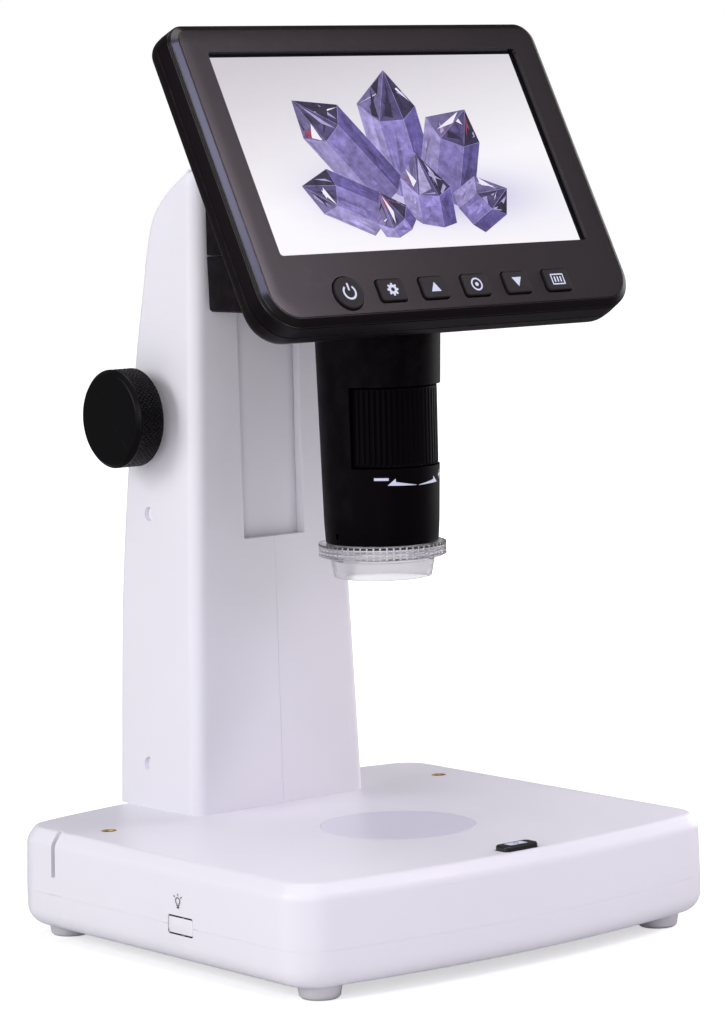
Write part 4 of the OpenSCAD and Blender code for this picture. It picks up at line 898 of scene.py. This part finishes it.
# picture: a cluster of six-sided crystals on a pale ground
def tinted(name, faces, level, body):
    """Flat faces on the screen, each (points, colours at the points): so many on one level, then
    each one laid over the last."""
    shapes = [moved(plate(p), z=PICTURE_N + SHEET_STEP * max(0, k - level + 1))
              for k, (p, _) in enumerate(faces)]
    obj = mesh_object(name, on_screen(joined(*shapes)))
    tones = np.vstack([np.broadcast_to(c, (len(p), 3)) for p, c in faces])
    tone = obj.data.color_attributes.new("tone", "FLOAT_COLOR", "CORNER")
    tone.data.foreach_set("color", np.column_stack([tones, np.ones(len(tones))]).ravel())
    obj.data.materials.append(picture)
    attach(obj, body)
    return obj


def srgb(r, g, b):
    """Linear colour, without alpha, of an sRGB colour out of 255."""
    return np.array(linear(r, g, b)[:3])


def crystal(foot, lean, length, half, tip, shift, shade, rng):
    """Faces of one crystal: three sides of a six-sided bar with bevelled foot and shoulders, three
    dark tip faces that meet at a point, then bands along each side, slivers and glints inside the
    faces and thin pale lines on the edges."""
    a = math.radians(lean)
    along, across = np.array([math.sin(a), math.cos(a)]), np.array([math.cos(a), -math.sin(a)])

    def at(x, y):
        return np.array(foot) + x * across + y * along

    def inside(corners, weights):
        shape = weights @ np.array(corners)
        turned_in = np.cross(shape[1] - shape[0], shape[2] - shape[0]) < 0
        return shape[::-1] if turned_in else shape

    x = np.array([-1, -0.4, 0.46, 1]) * half
    low = np.array([0, -0.3, -0.27, 0]) * half
    top = length + np.array([0, -0.52, -0.4, 0.06]) * half
    peak = at(shift * half, length + tip)
    sides = [srgb(160, 149, 204), srgb(134, 122, 188), srgb(94, 83, 150)]
    tips = [srgb(112, 102, 150), srgb(80, 70, 118), srgb(46, 38, 74)]
    sparks = [srgb(236, 232, 246), srgb(170, 160, 206), srgb(34, 27, 54), srgb(150, 62, 86)]
    main, inner, lines = [], [], []
    for i in range(3):
        quad = [at(x[i], low[i]), at(x[i + 1], low[i + 1]), at(x[i + 1], top[i + 1]), at(x[i], top[i])]
        fade = np.array([0.78, 0.78, 1.1, 1.1])[:, None] * shade
        main.append((np.array(quad), np.clip(sides[i] * fade, 0, 0.9)))
        cap = [at(x[i], top[i]), at(x[i + 1], top[i + 1]), peak]
        main.append((np.array(cap), np.clip(tips[i] * shade * np.array([[1.25], [1.0], [0.8]]), 0, 0.9)))
        for _ in range(4):
            u0, v0 = rng.uniform(0.02, 0.7), rng.uniform(0, 0.5)
            u1, v1 = min(u0 + rng.uniform(0.06, 0.28), 0.97), min(v0 + rng.uniform(0.3, 0.7), 0.97)
            band = np.array([[(1 - u) * (1 - v), u * (1 - v), u * v, (1 - u) * v]
                             for u, v in ((u0, v0), (u1, v0), (u1, v1), (u0, v1))])
            inner.append((inside(quad, band), np.clip(sides[i] * rng.uniform(0.68, 1.3) * shade, 0, 0.9)))
        for corners, tone, count in ((quad, sides[i], 3), (cap, tips[i], 3)):
            for _ in range(count):
                mix = rng.dirichlet(np.ones(len(corners)) * 0.6, 3)
                inner.append((inside(corners, mix),
                              np.clip(tone * rng.uniform(0.5, 1.5) * shade, 0, 0.9)))
        for _ in range(4):
            mix = rng.dirichlet(np.ones(3) * 0.8, 3)
            inner.append((inside(cap, mix), sparks[rng.choice(4, p=[0.26, 0.26, 0.38, 0.1])]))
        lines += [(quad[3], quad[2]), (quad[2], quad[1]), (quad[2], peak)]
    edges = [(stroke([p, q], 0.1)[0][[0, 1, 3, 2], :2], srgb(164, 156, 206)) for p, q in lines[:8]]
    return main + inner + edges


picture, tree, shader = opened("picture")
shader.inputs["Base Color"].default_value = (0.015, 0.015, 0.018, 1)
shader.inputs["Emission Strength"].default_value = 1.0
shader.inputs["Specular IOR Level"].default_value = 0.3
place = add_node(tree, "TexCoord").outputs["Object"]
tone = add_node(tree, "Attribute", attribute_name="tone").outputs["Color"]
cloud = noise(tree, place, 340.0, 5.0, 0.65)
body_mask = ranged(tree, add_node(tree, "SeparateColor", inputs={0: tone}).outputs[1], 0.5, 0.36)
vary = ranged(tree, cloud, 0.32, 0.68, 0.62, 1.28)
vary = maths(tree, "ADD", 1.0, maths(tree, "MULTIPLY", body_mask, maths(tree, "SUBTRACT", vary, 1.0)))
tree.links.new(add_node(tree, "VectorMath", operation="SCALE", inputs={
    0: tone, "Scale": vary}).outputs[0], shader.inputs["Emission Color"])
tree.links.new(ranged(tree, cloud, 0.3, 0.7, 0.17, 0.24), shader.inputs["Roughness"])

gu, gv = np.meshgrid(np.linspace(-PICTURE_W / 2, PICTURE_W / 2, 49),
                     np.linspace(-PICTURE_H / 2, PICTURE_H / 2, 29))
ground = patch(np.stack([gu, gv, 0 * gu], -1))


def ground_tone(p):
    """Pale ground: greyer towards the top, with a violet shade that falls off round the crystals."""
    u, v = p[:, 0], p[:, 1]
    grey = np.clip((v - 0.18 * u + 8) / 44, 0, 1)[:, None] ** 0.9
    shade = (np.exp(-(((u - 14) / 30) ** 2 + ((v + 15) / 8) ** 2))
             + 0.8 * np.exp(-(((u + 20) / 17) ** 2 + ((v + 12) / 8) ** 2)))[:, None]
    pale = srgb(246, 244, 248) * (1 - grey) + srgb(203, 197, 205) * grey
    share = np.clip(shade * 0.62, 0, 1)
    return pale * (1 - share) + srgb(150, 142, 208) * share


faces = [(ground[0][face][:, :2], ground_tone(ground[0][face])) for face in ground[1]]
rng = np.random.default_rng(7)
CRYSTALS = [
    # foot, lean, length, half width, tip, apex shift, shade
    ((-0.6, -11.3), 5, 26, 10.5, 11.8, 0.25, 0.97), ((-10.7, -12.4), -31, 26, 9.6, 10, -0.3, 0.88),
    ((11.7, -13.6), 29, 22.5, 9.4, 9.5, 0.35, 0.84), ((-16.3, -19.2), -64, 16.8, 7.6, 7.8, -0.2, 0.95),
    ((17.3, -20.3), 63, 11.2, 7.2, 7.6, 0.2, 0.9), ((2.7, -21.4), 13, 11.2, 8.7, 9.6, -0.25, 1.06),
    ((-9.6, -24.2), -21, 4.5, 6.9, 7.4, 0.15, 1.1)]
for shape in CRYSTALS:
    faces += crystal(*shape, rng)
tinted("picture_sheet", faces, len(ground[1]), "screen")
panel = slab(115, 66, 0.8, -1.2, -0.5)
piece("screen_panel", on_screen(panel), "screen", black_gloss, ["lcd_glass"])

# ---- camera
AZ, EL, ROLL, DIST = math.radians(-39.56), math.radians(5.96), math.radians(-1.40), 1090.26
target = Vector((-7.11, -13.0, 123.88)) * MM
back = Vector((math.sin(AZ) * math.cos(EL), -math.cos(AZ) * math.cos(EL), math.sin(EL)))
right = Vector((math.cos(AZ), math.sin(AZ), 0))
up = back.cross(right)
side_x = right * math.cos(ROLL) + up * math.sin(ROLL)
side_y = up * math.cos(ROLL) - right * math.sin(ROLL)
camera = bpy.data.objects.new("camera", bpy.data.cameras.new("camera"))
bpy.context.scene.collection.objects.link(camera)
camera.matrix_world = Matrix((
    (side_x.x, side_y.x, back.x, target.x + back.x * DIST * MM),
    (side_x.y, side_y.y, back.y, target.y + back.y * DIST * MM),
    (side_x.z, side_y.z, back.z, target.z + back.z * DIST * MM), (0, 0, 0, 1)))
camera.data.lens, camera.data.sensor_width, camera.data.sensor_fit = 134.57, 36.0, "AUTO"
camera.data.clip_start, camera.data.clip_end = 0.05, 30.0
bpy.context.scene.camera = camera

# ---- floor, light
floor = mesh_object("floor", patch(np.stack(np.meshgrid(
    np.linspace(-4000, 4000, 3), np.linspace(-4000, 4000, 3), [0.0], indexing="xy"), -1)[:, :, 0]))
floor_finish, tree, shader = opened("floor_finish")
tree.nodes.remove(shader)
seen = add_node(tree, "LightPath")
show = maths(tree, "MAXIMUM", seen.outputs["Is Camera Ray"], seen.outputs["Is Transmission Ray"])
far = add_node(tree, "VectorMath", operation="LENGTH", inputs={
    0: add_node(tree, "TexCoord").outputs["Object"]})
white = ranged(tree, far.outputs["Value"], 0.3, 0.9, 0.55, 1.0)  # whiter away from the microscope
show = maths(tree, "ADD", maths(tree, "MULTIPLY", show, white),
             maths(tree, "MULTIPLY", seen.outputs["Is Glossy Ray"], 0.06))
matt = add_node(tree, "BsdfDiffuse", inputs={0: mixed(
    tree, seen.outputs["Is Glossy Ray"], (0.8, 0.8, 0.8, 1), (0.16, 0.16, 0.16, 1))})
glow = add_node(tree, "Emission", inputs={"Color": (1, 1, 1, 1), "Strength": show})
both = add_node(tree, "AddShader", inputs={0: matt.outputs[0], 1: glow.outputs[0]})
tree.links.new(both.outputs[0], tree.nodes["Material Output"].inputs["Surface"])
floor.data.materials.append(floor_finish)

world = bpy.context.scene.world or bpy.data.worlds.new("studio")
bpy.context.scene.world = world
world.use_nodes = True
tree = world.node_tree
for old in list(tree.nodes):
    tree.nodes.remove(old)
seen = add_node(tree, "LightPath")
show = maths(tree, "MAXIMUM", seen.outputs["Is Camera Ray"], seen.outputs["Is Transmission Ray"])
dim = ranged(tree, seen.outputs["Is Glossy Ray"], 0, 1, 0.165, 0.12)
sky = add_node(tree, "Background", inputs={
    "Color": (1, 1, 1, 1), "Strength": maths(tree, "MAXIMUM", show, dim)})
out = add_node(tree, "OutputWorld")
tree.links.new(sky.outputs[0], out.inputs["Surface"])


def lamp(name, at, size, watts, color=(1, 1, 1), look=(0, 0, 120)):
    """Soft rectangular lamp at a place, facing a point, both in millimetres."""
    data = bpy.data.lights.new(name, "AREA")
    data.shape, data.size, data.size_y = "RECTANGLE", size[0] * MM, size[1] * MM
    data.energy, data.color = watts, color
    obj = bpy.data.objects.new(name, data)
    bpy.context.scene.collection.objects.link(obj)
    obj.location = Vector(at) * MM
    obj.rotation_euler = (Vector(look) - Vector(at)).to_track_quat("-Z", "Y").to_euler()


lamp("left_lamp", (-1500, 300, 700), (900, 900), 11.7)
lamp("front_lamp", (-1100, -1100, 500), (700, 700), 5.4, (1, 0.98, 1))
lamp("front_right_lamp", (700, -1300, 500), (800, 800), 1.6)
lamp("face_lamp", (732, -1033, 1309), (400, 300), 6.8, (1, 0.87, 0.98), (0, -30, 200))
lamp("top_lamp", (0, 0, 1700), (1200, 1200), 10.4)
lamp("right_lamp", (1500, 100, 500), (900, 900), 10.0)
lamp("bevel_lamp", (-615, -888, 1325), (300, 300), 3.3, (0.66, 0.66, 1), (-66, -26, 227))

bpy.context.scene.view_settings.view_transform = "Standard"
